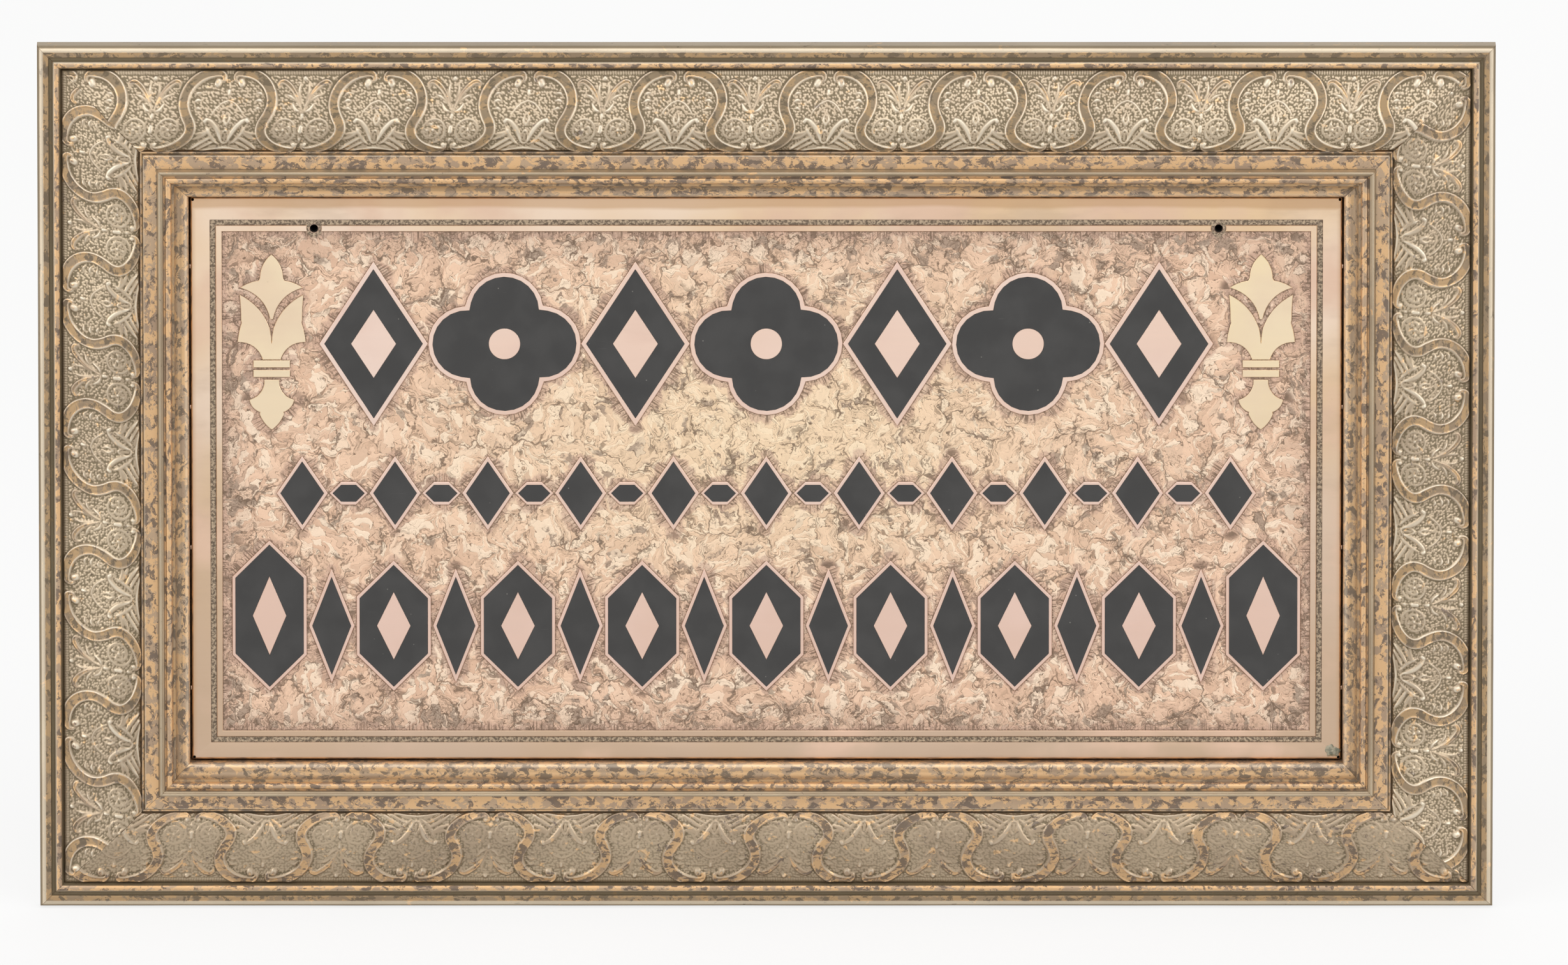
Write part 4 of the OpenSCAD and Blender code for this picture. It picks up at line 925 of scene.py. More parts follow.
def etched_copper():
    """Shells of long shards that spread from a root beside them, hairlines, stippled shade, and
    blades and a rosy tone next to whatever stands up."""
    finish, tree, output = new_finish("etched_copper_ground")
    metres = add_node(tree, "TexCoord").outputs["Object"]
    plane = add_node(tree, "SeparateXYZ", {0: metres})
    flat = add_node(tree, "CombineXYZ", {0: maths(tree, "MULTIPLY", plane.outputs["X"], 1 / MM),
                                         1: maths(tree, "MULTIPLY", plane.outputs["Z"], 1 / MM)}).outputs[0]
    foot = add_node(tree, "Attribute", attribute_name="foot").outputs["Vector"]
    rim, band, inner, glow = (add_node(tree, "Attribute", attribute_name=layer).outputs["Fac"]
                              for layer in ("rim", "band", "inner", "glow"))

    def noise(vector, size, detail, **more):
        """A noise whose blotches are size mm wide."""
        inputs = {"Vector": vector, "Scale": 1 / size, "Detail": detail, **more}
        return add_node(tree, "TexNoise", inputs).outputs["Fac"]

    def hairline(value, width):
        """A line where a value is less than width from its middle, 0.5."""
        off = maths(tree, "ABSOLUTE", maths(tree, "SUBTRACT", value, 0.5))
        return between(tree, off, width, 0.3 * width)

    bend = add_node(tree, "TexNoise", {"Vector": flat, "Scale": 1 / 9, "Detail": 3.0}).outputs["Color"]
    bend = add_node(tree, "VectorMath", {0: bend, 1: (0.5, 0.5, 0.5)}, operation="SUBTRACT").outputs[0]
    bend = add_node(tree, "VectorMath", {0: bend, "Scale": 17.0}, operation="SCALE").outputs[0]
    warped = add_node(tree, "VectorMath", {0: flat, 1: bend}, operation="ADD").outputs[0]
    smudge = noise(flat, 15.0, 5.0, Roughness=0.65)
    grain = noise(flat, 1.5, 4.0, Roughness=0.65)
    shells = {"Vector": warped, "Scale": 1 / SHELL}
    cell = add_node(tree, "TexVoronoi", shells, voronoi_dimensions="2D")
    edge = add_node(tree, "TexVoronoi", shells, voronoi_dimensions="2D",
                    feature="DISTANCE_TO_EDGE").outputs["Distance"]
    pick = add_node(tree, "SeparateColor", {0: cell.outputs["Color"]}).outputs
    turn = maths(tree, "MULTIPLY", pick[0], FULL_TURN)
    aside = maths(tree, "MULTIPLY", maths(tree, "COSINE", turn), SHELL * 0.9)
    above = maths(tree, "MULTIPLY", maths(tree, "SINE", turn), SHELL * 0.9)
    beside = add_node(tree, "CombineXYZ", {0: aside, 1: above}).outputs[0]
    root = add_node(tree, "VectorMath", {0: cell.outputs["Position"], 1: beside}, operation="ADD").outputs[0]
    arm = add_node(tree, "VectorMath", {0: warped, 1: root}, operation="SUBTRACT").outputs[0]
    arm_xy = add_node(tree, "SeparateXYZ", {0: arm}).outputs
    reach = add_node(tree, "VectorMath", {0: arm}, operation="LENGTH").outputs["Value"]
    angle = maths(tree, "MULTIPLY_ADD", reach, 0.55 / SHELL, maths(tree, "ARCTAN2", arm_xy["Y"], arm_xy["X"]))
    fan_at = add_node(tree, "CombineXYZ", {0: maths(tree, "MULTIPLY", angle, SHELL * 0.85),
                                           1: maths(tree, "MULTIPLY", reach, 0.22),
                                           2: maths(tree, "MULTIPLY", pick[1], 70.0)}).outputs[0]
    own_part = maths(tree, "MULTIPLY", pick[1], 900.0)
    near_root = add_node(tree, "CombineXYZ", {0: maths(tree, "MULTIPLY_ADD", angle, SHELL * 0.80, own_part),
                                              1: maths(tree, "MULTIPLY", reach, 0.36)}).outputs[0]
    shards = {"Vector": near_root, "Scale": 1 / SHARD}
    shard = add_node(tree, "TexVoronoi", shards, voronoi_dimensions="2D")
    shard_edge = add_node(tree, "TexVoronoi", shards, voronoi_dimensions="2D",
                          feature="DISTANCE_TO_EDGE").outputs["Distance"]
    tone = add_node(tree, "SeparateColor", {0: shard.outputs["Color"]}).outputs
    stuck = noise(foot, 0.9, 2.0)
    length = noise(foot, 9.0, 2.0)
    shade = maths(tree, "MULTIPLY_ADD", inner, -0.16, maths(tree, "ADD", smudge, 0.12))
    shade = between(tree, shade, 0.45, 0.66)
    close = between(tree, maths(tree, "DIVIDE", rim, between(tree, length, 0.36, 0.66, 1.6, 6.5)), 1.0, 0.6)
    shade = maths(tree, "MAXIMUM", shade, maths(tree, "MULTIPLY", close, 0.35))
    weight = between(tree, noise(flat, 3.0, 2.0), 0.42, 0.66, 0.010, 0.11)
    weight = maths(tree, "MULTIPLY", weight, maths(tree, "MULTIPLY_ADD", shade, 0.9, 0.55))
    cuts = between(tree, maths(tree, "DIVIDE", shard_edge, weight), 1.0, 0.45)
    blades = maths(tree, "MULTIPLY", between(tree, noise(fan_at, 0.9, 2.0), 0.52, 0.60),
                   between(tree, edge, 0.30, 0.03, 0.05, 0.8))
    crack = maths(tree, "MULTIPLY", between(tree, edge, 0.035, 0.01), between(tree, smudge, 0.44, 0.52))
    fine = hairline(noise(flat, 2.6, 2.0, Distortion=1.2), 0.050)
    fine = maths(tree, "MULTIPLY", fine, maths(tree, "MULTIPLY_ADD", shade, 0.75, 0.05))
    stipple = maths(tree, "MULTIPLY", between(tree, grain, 0.53, 0.60), shade)
    hem = between(tree, maths(tree, "DIVIDE", rim, between(tree, length, 0.42, 0.66, 0.5, 8.0)), 1.0, 0.35)
    comb = maths(tree, "MULTIPLY", between(tree, stuck, 0.50, 0.60), hem)
    lines = maths(tree, "MAXIMUM", maths(tree, "MAXIMUM", blades, crack),
                  maths(tree, "MAXIMUM", maths(tree, "MAXIMUM", fine, cuts), comb))
    greyed = between(tree, maths(tree, "MULTIPLY_ADD", shade, 0.50, tone[2]), 0.93, 1.12)
    colour = tinted(tree, "#F9E1C8", "#F0CCB0", between(tree, tone[0], 0.2, 0.7))
    colour = tinted(tree, colour, "#DEB99E", between(tree, tone[1], 0.55, 0.75, 0.0, 0.85))
    # The glow is a painted pool of reflected light, brightest a little above the plate's middle.
    colour = tinted(tree, colour, "#F9E2BC", maths(tree, "MULTIPLY", glow, 0.60))
    colour = tinted(tree, "#CBAC96", colour, between(tree, inner, 0.0, 1.0, 0.55, 1.0))
    colour = tinted(tree, colour, "#A48F7E", maths(tree, "MULTIPLY", greyed, 0.80))
    colour = tinted(tree, colour, "#CFAC98", maths(tree, "MULTIPLY", close, 0.60))
    colour = tinted(tree, colour, "#756659", maths(tree, "MULTIPLY", stipple, 0.55))
    colour = tinted(tree, colour, "#746151", maths(tree, "MULTIPLY", lines, 0.80))
    channel = tinted(tree, "#BBA88F", "#6E6254", between(tree, grain, 0.42, 0.56))
    colour = tinted(tree, colour, channel, maths(tree, "MULTIPLY", band, 0.92))
    # A darker line along the foot of every raised edge, within 0.7 mm of it, is painted shade.
    colour = tinted(tree, colour, "#6E5A4B", maths(tree, "MULTIPLY", between(tree, rim, 0.7, 0.15), 0.6))
    rough = maths(tree, "MULTIPLY_ADD", lines, 0.2, 0.42)
    height = maths(tree, "MULTIPLY_ADD", lines, -0.7, between(tree, shard_edge, 0.0, 0.3))
    height = maths(tree, "MULTIPLY_ADD", grain, 0.6, height)
    coat(tree, output, {"Base Color": colour, "Metallic": 0.92, "Roughness": rough}, height, 0.4, 0.25)
    return finish


ground_copper = etched_copper()
print("etched finish made of", len(ground_copper.node_tree.nodes), "nodes")

# %% [markdown]
# ## Baked enamel and solder
# The shapes are filled with baked enamel, ground flush and left satin: a charcoal that is never
# quite black, with pinholes and a few pale specks. Enamel is glassy, with an IOR of 1.5. The
# solder at one corner is old tin and lead, grey with a green bloom.

# %%
# Enamel and solder
def charcoal_enamel():
    """Satin enamel: charcoal with slow clouds, pale specks a third of a millimetre wide, and hair
    scratches."""
    finish, tree, output = new_finish("baked_charcoal_enamel")
    metres = add_node(tree, "TexCoord").outputs["Object"]
    clouds = add_node(tree, "TexNoise", {"Vector": metres, "Scale": 60.0, "Detail": 5.0}).outputs["Fac"]
    specks = add_node(tree, "TexVoronoi", {"Vector": metres, "Scale": 170.0}).outputs["Distance"]
    chosen = add_node(tree, "TexNoise", {"Vector": metres, "Scale": 95.0, "Detail": 1.0}).outputs["Fac"]
    hairs = add_node(tree, "Mapping", {"Vector": metres, "Scale": (60.0, 60.0, 1500.0),
                                       "Rotation": (0.0, 0.5, 0.0)}).outputs["Vector"]
    scratch = add_node(tree, "TexNoise", {"Vector": hairs, "Scale": 1.0, "Detail": 2.0}).outputs["Fac"]
    skin = add_node(tree, "TexNoise", {"Vector": metres, "Scale": 900.0, "Detail": 2.0}).outputs["Fac"]
    speck = maths(tree, "MULTIPLY", between(tree, specks, 0.075, 0.03), between(tree, chosen, 0.55, 0.60))
    colour = tinted(tree, "#302F2E", "#393837", between(tree, clouds, 0.35, 0.7))
    colour = tinted(tree, colour, "#8E8B84", maths(tree, "MULTIPLY", speck, 0.75))
    colour = tinted(tree, colour, "#5A5958", between(tree, scratch, 0.74, 0.80, 0.0, 0.4))
    rough = between(tree, clouds, 0.3, 0.7, 0.38, 0.48)
    coat(tree, output, {"Base Color": colour, "Roughness": rough, "IOR": 1.5}, skin, 0.08, 0.05)
    return finish


def old_solder():
    """Soft solder: dull grey metal with a green bloom and fine wrinkles from cooling."""
    finish, tree, output = new_finish("old_soft_solder")
    metres = add_node(tree, "TexCoord").outputs["Object"]
    wrinkles = add_node(tree, "TexNoise", {"Vector": metres, "Scale": 900.0, "Detail": 5.0,
                                           "Distortion": 1.0}).outputs["Fac"]
    bloom = add_node(tree, "TexNoise", {"Vector": metres, "Scale": 500.0, "Detail": 3.0}).outputs["Fac"]
    colour = tinted(tree, "#A7A08C", "#77796B", between(tree, bloom, 0.4, 0.65))
    coat(tree, output, {"Base Color": colour, "Metallic": 0.8, "Roughness": 0.5}, wrinkles, 0.5, 0.2)
    return finish


enamel, solder = charcoal_enamel(), old_solder()
print("enamel and solder made")

# %% [markdown]
# ## Outlines on the plate
# Every enamel shape is drawn as a radius over the angle round its own middle. For a straight
# sided shape, that is the nearest side in that direction. For the flower it is the furthest of
# four lobes and a lozenge. Two outlines at the same angles then pair up point by point, which
# makes the raised edge round each shape a simple ring.

# %%
# Radial outlines
def convex_radius(corners, angles):
    """Distance to the nearest side: each side's offset over the cosine between its normal and the
    ray."""
    corners = np.asarray(corners, float)
    way = np.roll(corners, -1, axis=0) - corners
    normal = np.stack([way[:, 1], -way[:, 0]], axis=1) / np.linalg.norm(way, axis=1, keepdims=True)
    offset = (normal * corners).sum(axis=1)
    slope = np.cos(angles)[:, None] * normal[:, 0] + np.sin(angles)[:, None] * normal[:, 1]
    return np.where(slope > 1e-9, offset / np.maximum(slope, 1e-9), 1e9).min(axis=1)


def lozenge_corners(w, h, grow=0.0):
    """A lozenge whose sides are moved out by grow, which moves each corner by grow times the
    side's length over the other axis."""
    slant = math.hypot(w, h)
    a, b = w / 2 + grow * slant / h, h / 2 + grow * slant / w
    return [(a, 0), (0, b), (-a, 0), (0, -b)]


def tablet_corners(w, h, grow=0.0):
    """A tablet with square points above and below. Moved out by grow, its tips move root two times
    as far, and its shoulders root two less one times."""
    a, tip = w / 2 + grow, h / 2 + grow * math.sqrt(2)
    shoulder = (h - w) / 2 + grow * (math.sqrt(2) - 1)
    return [(a, -shoulder), (a, shoulder), (0, tip), (-a, shoulder), (-a, -shoulder), (0, -tip)]


def bar_corners(w, h, grow=0.0):
    """A flat bar with a square point at both ends: its long sides end half a height early."""
    a, b = w / 2 + grow, h / 2 + grow
    return [(a - b, -b), (a, 0), (a - b, b), (b - a, b), (-a, 0), (b - a, -b)]


def flower_radius(w, h, grow, angles):
    """The furthest of a lozenge and four circles; a circle's far side lies at the cosine part of
    its centre plus the root of its radius squared less the sine part squared."""
    lobe = min(w, h) / 4 + grow
    best = convex_radius(lozenge_corners(w * 0.8, h * 0.8, grow), angles)
    out_x, out_y = w / 2 - lobe + grow, h / 2 - lobe + grow
    for cx, cy in ((out_x, 0), (-out_x, 0), (0, out_y), (0, -out_y)):
        along = cx * np.cos(angles) + cy * np.sin(angles)
        across = cx * np.sin(angles) - cy * np.cos(angles)
        reach = np.where(np.abs(across) < lobe, along + np.sqrt(np.clip(lobe ** 2 - across ** 2, 0, None)), 0)
        best = np.maximum(best, reach)
    return best


def corner_angles(*polygons):
    """Even angles, and the exact angles of every corner, in order and without near repeats."""
    found = [np.linspace(-np.pi, np.pi, 49)[:-1] + 0.01]
    found += [np.arctan2(*np.asarray(p, float).T[::-1]) for p in polygons]
    angles = np.sort(np.concatenate(found))
    exact = np.concatenate(found[1:]) if polygons else np.zeros(0)
    keep = np.append(np.diff(angles) > 0.02, True)
    keep |= np.isin(angles, exact)
    angles = angles[keep]
    return angles[np.append(np.diff(angles) > 1e-6, True)]


def polar(radius, angles, centre):
    """Points at a radius and an angle from a centre: the centre plus radius times cosine and sine."""
    return np.stack([centre[0] + radius * np.cos(angles), centre[1] + radius * np.sin(angles)], axis=1)


def moved_in(outline, distance):
    """Moves a closed outline inwards by a distance: each corner along the sum of its two sides'
    normals, over one plus their product."""
    way = np.roll(outline, -1, axis=0) - outline
    way /= np.linalg.norm(way, axis=1, keepdims=True)
    normal = np.stack([-way[:, 1], way[:, 0]], axis=1)
    before = np.roll(normal, 1, axis=0)
    scale = np.maximum(1 + (normal * before).sum(axis=1, keepdims=True), 0.25)
    return outline + distance * (normal + before) / scale


def stacked(outlines, heights):
    """Rings of matched outlines at their heights, one above the other, as points in the row frame."""
    return np.concatenate([stand_up(o[:, 0], o[:, 1], h) for o, h in zip(outlines, heights)])


def collar(outer, inner, low, high, bevel):
    """A closed ring between two matched outlines: up the outside, over two small bevels and down
    the inside."""
    rings = [outer, outer, moved_in(outer, bevel), moved_in(inner, -bevel), inner, inner]
    n = len(outer)
    return stacked(rings, [low, high - bevel, high, high, high - bevel, low]), [grid_faces(6, n, True, True)]


def plateau(outline, low, high, bevel):
    """A closed block: straight sides, a small bevel, and flat faces above and below."""
    area = np.sum(outline[:, 0] * np.roll(outline[:, 1], -1) - outline[:, 1] * np.roll(outline[:, 0], -1))
    outline = outline if area > 0 else outline[::-1]
    rings = [outline, outline, moved_in(outline, bevel)]
    return stacked(rings, [low, high - bevel, high]), capped_stack(3, len(outline))


print("a lozenge of 52 by 80.6 mm has corners", lozenge_corners(52.0, 80.6))

# %% [markdown]
# ## The three rows of shapes
# The places, sizes and numbers are the CAD model's. Each shape has up to three outlines that
# match point by point: its enamel, its raised edge, and the bare island that some of them have.

# %%
# Places of the shapes
# A row: how many shapes, its width, the width and height of a shape, and its middle's y, in mm
UPPER = (4, 468.0, 52.0, 80.6, 73.0)
MIDDLE = (11, 515.0, 23.0, 34.2, -8.0)
LOWER = (9, 563.0, 36.0, 66.0, -80.0)
# Widths of bold and fine raised edges, and the space beside each
BOLD_EDGE, FINE_EDGE, SPACE = 2.3, 1.7, 3.0
LOZENGE_STROKE, TABLET_STROKE, BAR_H = 14.0, 9.0, 9.0
# What the first and the last tablet stand above the others
TALLER = 11.0


def row_places(count, row_w, shape_w, edge):
    """Middles of a row's shapes, middles of the gaps between them, and the width that is free in a
    gap: the step less a shape, two raised edges and two spaces."""
    step = (row_w - shape_w) / (count - 1)
    start = (row_w - shape_w) / 2
    middles = [i * step - start for i in range(count)]
    betweens = [(i + 0.5) * step - start for i in range(count - 1)]
    return middles, betweens, step - shape_w - 2 * SPACE - 2 * edge


def with_edge(corners, w, h, edge, island=None):
    """A shape's corners, those of its raised edge, and its island."""
    return [corners(w, h), corners(w, h, edge), island]


def upper_row():
    """Bold lozenges, each with a small one left bare in it, and four-lobed flowers between."""
    count, row_w, w, h, y = UPPER
    middles, betweens, free = row_places(count, row_w, w, BOLD_EDGE)
    share = 1 - 2 * LOZENGE_STROKE / w
    lozenge = with_edge(lozenge_corners, w, h, BOLD_EDGE, lozenge_corners(w * share, h * share))
    flower = [(free, h * 0.9, 0.0), (free, h * 0.9, BOLD_EDGE), LOZENGE_STROKE * 0.6]
    return [((x, y), lozenge) for x in middles] + [((x, y), flower) for x in betweens]


def middle_row():
    """Small lozenges, and pointed bars between."""
    count, row_w, w, h, y = MIDDLE
    middles, betweens, free = row_places(count, row_w, w, FINE_EDGE)
    lozenge = with_edge(lozenge_corners, w, h, FINE_EDGE)
    bar = with_edge(bar_corners, free, BAR_H, FINE_EDGE)
    return [((x, y), lozenge) for x in middles] + [((x, y), bar) for x in betweens]


def lower_row():
    """Pointed tablets with a bare lozenge in each, and slim lozenges between."""
    count, row_w, w, h, y = LOWER
    middles, betweens, free = row_places(count, row_w, w, FINE_EDGE)
    shapes = []
    for i, x in enumerate(middles):
        extra = TALLER if i in (0, count - 1) else 0.0
        island = lozenge_corners(w - 2 * TABLET_STROKE, (h + extra) * 0.56)
        shapes.append(((x, y + extra / 2), with_edge(tablet_corners, w, h + extra, FINE_EDGE, island)))
    slim = with_edge(lozenge_corners, free, h * 0.8, FINE_EDGE)
    return shapes + [((x, y), slim) for x in betweens]


def matched(centre, drawn):
    """A shape's outlines at the same angles: a list of corners, the sizes of a flower or one plain
    radius give the distance from the centre at every angle."""
    angles = corner_angles(*[d for d in drawn if isinstance(d, list)])
    outlines = []
    for d in drawn:
        if isinstance(d, list):
            d = convex_radius(d, angles)
        elif isinstance(d, tuple):
            d = flower_radius(*d, angles)
        outlines.append(None if d is None else polar(d, angles, centre))
    return outlines


DRAWN = {"upper": upper_row(), "middle": middle_row(), "lower": lower_row()}
ROWS = {row: [matched(*shape) for shape in shapes] for row, shapes in DRAWN.items()}
print({row: len(shapes) for row, shapes in ROWS.items()})


# %%
# The leaf at either end
LEAF_W, LEAF_H, LEAF_X, LEAF_Y = 36.0, 95.0, 262.0, 74.0


def bent_outline(corners, centre, steps=8):
    """A closed line through corners (x, y, bulge), in shares of half the leaf's size: each side
    bows inwards by a parabola, twice its bulge times t times one less t."""
    c = np.asarray(corners, float)
    p = c[:, :2] * (LEAF_W / 2, LEAF_H / 2)
    d = np.roll(p, -1, axis=0) - p
    out = []
    for (x, y), (dx, dy), bulge in zip(p, d, c[:, 2]):
        t = np.arange(steps if bulge else 1) / steps
        lift = 2 * bulge * t * (1 - t)
        out.append(np.stack([x + dx * t + dy * lift, y + dy * t - dx * lift], axis=1))
    return np.concatenate(out) + centre


LEAF_CROWN = [(0, 1, -0.22), (0.34, 0.73, 0), (0.38, 0.7, -0.12), (0.92, 0.62, 0.3), (0.04, 0.26, 0),
              (-0.04, 0.26, 0.3), (-0.92, 0.62, -0.12), (-0.38, 0.7, 0), (-0.34, 0.73, -0.22)]
LEAF_PAIR = [(0, -0.02, -0.04), (0.06, 0.16, -0.2), (0.94, 0.54, 0.03), (0.9, 0.25, 0), (0.88, 0.22, -0.06),
             (1, 0, 0.36), (0.26, -0.2, 0), (-0.26, -0.2, 0.36), (-1, 0, -0.06), (-0.88, 0.22, 0),
             (-0.9, 0.25, 0.03), (-0.94, 0.54, -0.2), (-0.06, 0.16, -0.04)]
LEAF_FOOT = [(0.22, -0.43, 0), (0.22, -0.48, 0.3), (0.66, -0.66, -0.28), (0.34, -0.8, 0),
             (0.36, -0.82, -0.16), (0, -1, -0.16), (-0.36, -0.82, 0), (-0.34, -0.8, -0.28),
             (-0.66, -0.66, 0.3), (-0.22, -0.48, 0), (-0.22, -0.43, 0)]
# Two short bars cross the stem: one bar's corners, and the levels of both
STEM_BAR = np.array([(-0.54, -0.04), (0.54, -0.04), (0.54, 0.04), (-0.54, 0.04)])
BAR_LEVELS = (-0.25, -0.36)
leaf_outlines = []
for end in (-1, 1):
    middle = np.array([LEAF_X * end, LEAF_Y])
    leaf_outlines += [bent_outline(part, middle) for part in (LEAF_CROWN, LEAF_PAIR, LEAF_FOOT)]
    leaf_outlines += [STEM_BAR * (LEAF_W / 2, LEAF_H / 2) + middle + (0, level * LEAF_H / 2)
                      for level in BAR_LEVELS]
print(len(leaf_outlines), "outlines in two leaves")

# %% [markdown]
# ## The folded pan
# The sheet is folded back over the core board, so its edge is a small round and not a knife
# edge. The pan is a stack of matched rectangles, each a little further in: up the inner side of
# the fold, round its lower edge, up the outside, over the round, and in to the etched ground.

# %%
# Folded pan
def box_ring(inset, corner, steps=6):
    """A rectangle inset from the plate's edges by (left, right, bottom, top), with rounded corners."""
    left, right, low, high = inset
    x0, x1 = left + corner - PLATE_W / 2, PLATE_W / 2 - right - corner
    y0, y1 = low + corner - PLATE_H / 2, PLATE_H / 2 - high - corner
    quarters = [((x1, y0), 270), ((x1, y1), 0), ((x0, y1), 90), ((x0, y0), 180)]
    return np.concatenate([arc(c, (corner, corner), a, a + 90, steps) for c, a in quarters])


def inner_rect(extra):
    """The insets of a rectangle that lies inside the margins by an extra distance."""
    return MARGIN_SIDE + extra, MARGIN_SIDE + extra, MARGIN_BOTTOM + extra, MARGIN_TOP + extra


# Radius of the fold's round, and height at which the folded edge ends, in mm
FOLD, FOLD_FOOT = 1.1, FACE_H - FLANGE
fold_lean = [(FOLD * (1 - math.cos(a)), FOLD * math.sin(a)) for a in np.radians([0, 22, 45, 67, 90])]
pan_rings = [(box_ring((SHEET,) * 4, 0.2), FOLD_FOOT), (box_ring((0.15,) * 4, 0.6), FOLD_FOOT),
             (box_ring((0.0,) * 4, 0.7), FOLD_FOOT + 0.15)]
pan_rings += [(box_ring((lean,) * 4, 0.7), FACE_H - FOLD + rise) for lean, rise in fold_lean]
pan_rings += [(box_ring(inner_rect(-0.15), 0.4), FACE_H), (box_ring(inner_rect(0.1), 0.3), FACE_H - 0.12),
              (box_ring(inner_rect(0.2), 0.3), GROUND_H - 0.1)]
pan_rings.append((box_ring((SHEET,) * 4, 0.2), FACE_H - SHEET))
pan_points = stacked(*zip(*pan_rings))
n, rows = len(pan_rings[0][0]), len(pan_rings) - 1
under = rows * n + np.arange(n)
ends = np.stack([under - n, under[::-1]])
lining = np.stack([under, np.roll(under, -1), np.roll(np.arange(n), -1), np.arange(n)], axis=1)
pan_shell = (pan_points, [grid_faces(rows, n, wrap_columns=True), ends, lining])
folded_pan = make_piece("folded_pan", [pan_shell], [margin_copper], stands_for=["sign_pan"])

# %% [markdown]
# ## The etched ground and the rule
# The ground is its own thin slab, a grid of 1.5 mm squares. Each point stores its signed
# distance to the nearest raised outline and the spot on it that is nearest, both found with
# arrays: for every outline, only the points in a window round it are measured. The rule is
# left standing by the etch, and stops in a small arc on both sides of each fixing hole.

# %%
# Distance to the raised outlines
GROUND_STEP = 1.5
REACH = 14.0


def nearest_on(outline, points):
    """Signed distance and nearest spot: each point is dropped onto every side, and the shortest
    drop is kept. It is negative inside, where a ray to the right crosses the outline oddly often."""
    a = outline[None]
    d = np.roll(outline, -1, axis=0)[None] - a
    p = points[:, None]
    t = np.clip(((p - a) * d).sum(axis=2) / np.maximum((d * d).sum(axis=2), 1e-12), 0, 1)
    spots = a + d * t[..., None]
    gaps = np.linalg.norm(p - spots, axis=2)
    best = gaps.argmin(axis=1)
    row = np.arange(len(points))
    y0, y1 = a[..., 1], a[..., 1] + d[..., 1]
    crossed = (y0 > p[..., 1]) != (y1 > p[..., 1])
    at_x = a[..., 0] + d[..., 0] * (p[..., 1] - y0) / np.where(np.abs(d[..., 1]) > 1e-12, d[..., 1], 1e-12)
    inside = (crossed & (at_x > p[..., 0])).sum(axis=1) % 2 == 1
    return np.where(inside, -1, 1) * gaps[row, best], spots[row, best]


def rule_outlines():
    """The rule as two closed outlines: the length between the fixing holes, and all the rest."""
    lean = math.asin(RULE_W / 2 / FIXING_RING)
    x0, y0 = PLATE_W / 2 - MARGIN_SIDE - BAND_W, -PLATE_H / 2 + MARGIN_BOTTOM + BAND_W
    x1, y1 = x0 - RULE_W, y0 + RULE_W
    y2, y3 = FIXING_Y + RULE_W / 2, FIXING_Y - RULE_W / 2

    def round_hole(side, start, end):
        """An arc of the gap round one fixing hole."""
        return polar(FIXING_RING, np.linspace(start, end, 9), (side * FIXING_X, FIXING_Y))

    far = math.pi + lean, math.pi - lean
    outside = [(-x0, y2), (-x0, y0), (x0, y0), (x0, y2)]
    inside = [(x1, y3), (x1, y1), (-x1, y1), (-x1, y3)]
    short = np.concatenate([round_hole(-1, lean, -lean), round_hole(1, *far)])
    rest = np.concatenate([round_hole(-1, *far), outside, round_hole(1, lean, -lean), inside])
    return short, rest


rule_pair = rule_outlines()
raised = [trio[1] for row in ROWS.values() for trio in row] + leaf_outlines + list(rule_pair)
left, right, low, high = inner_rect(0.0)
nx, ny = (int(size / GROUND_STEP) + 1 for size in (PLATE_W - left - right, PLATE_H - low - high))
ground_x = np.linspace(-PLATE_W / 2 + left, PLATE_W / 2 - right, nx)
ground_y = np.linspace(-PLATE_H / 2 + low, PLATE_H / 2 - high, ny)
ground_xy = np.stack(np.meshgrid(ground_x, ground_y, indexing="ij"), axis=-1)
edge_gap = np.minimum.reduce([ground_xy[..., 0] - ground_x[0], ground_x[-1] - ground_xy[..., 0],
                              ground_xy[..., 1] - ground_y[0], ground_y[-1] - ground_xy[..., 1]])
rim = np.minimum(edge_gap, REACH)
foot = ground_xy.copy()
for outline in raised:
    lo, hi = outline.min(axis=0) - REACH, outline.max(axis=0) + REACH
    i = slice(*np.searchsorted(ground_x, [lo[0], hi[0]]))
    j = slice(*np.searchsorted(ground_y, [lo[1], hi[1]]))
    window = ground_xy[i, j].reshape(-1, 2)
    gap, spot = nearest_on(outline, window)
    gap, spot = gap.reshape(rim[i, j].shape), spot.reshape(foot[i, j].shape)
    closer = gap < rim[i, j]
    rim[i, j] = np.where(closer, gap, rim[i, j])
    foot[i, j] = np.where(closer[..., None], spot, foot[i, j])
print("ground grid", rim.shape, "distance from", round(rim.min(), 2))

# %%
# Ground, rule and the bores
def hole_shade_finish():
    """Painted shade for the deep fixing holes: nearly black brown, matt, with fine lighter hairs."""
    finish, tree, output = new_finish("hole_shade_wood_fibre")
    metres = add_node(tree, "TexCoord").outputs["Object"]
    hairs = add_node(tree, "TexNoise", {"Vector": metres, "Scale": 1500.0, "Detail": 4.0}).outputs["Fac"]
    colour = tinted(tree, "#17120E", "#3A2C20", between(tree, hairs, 0.45, 0.75))
    coat(tree, output, {"Base Color": colour, "Roughness": 0.95}, hairs, 0.5, 0.2)
    return finish


hole_shade_fibre = hole_shade_finish()


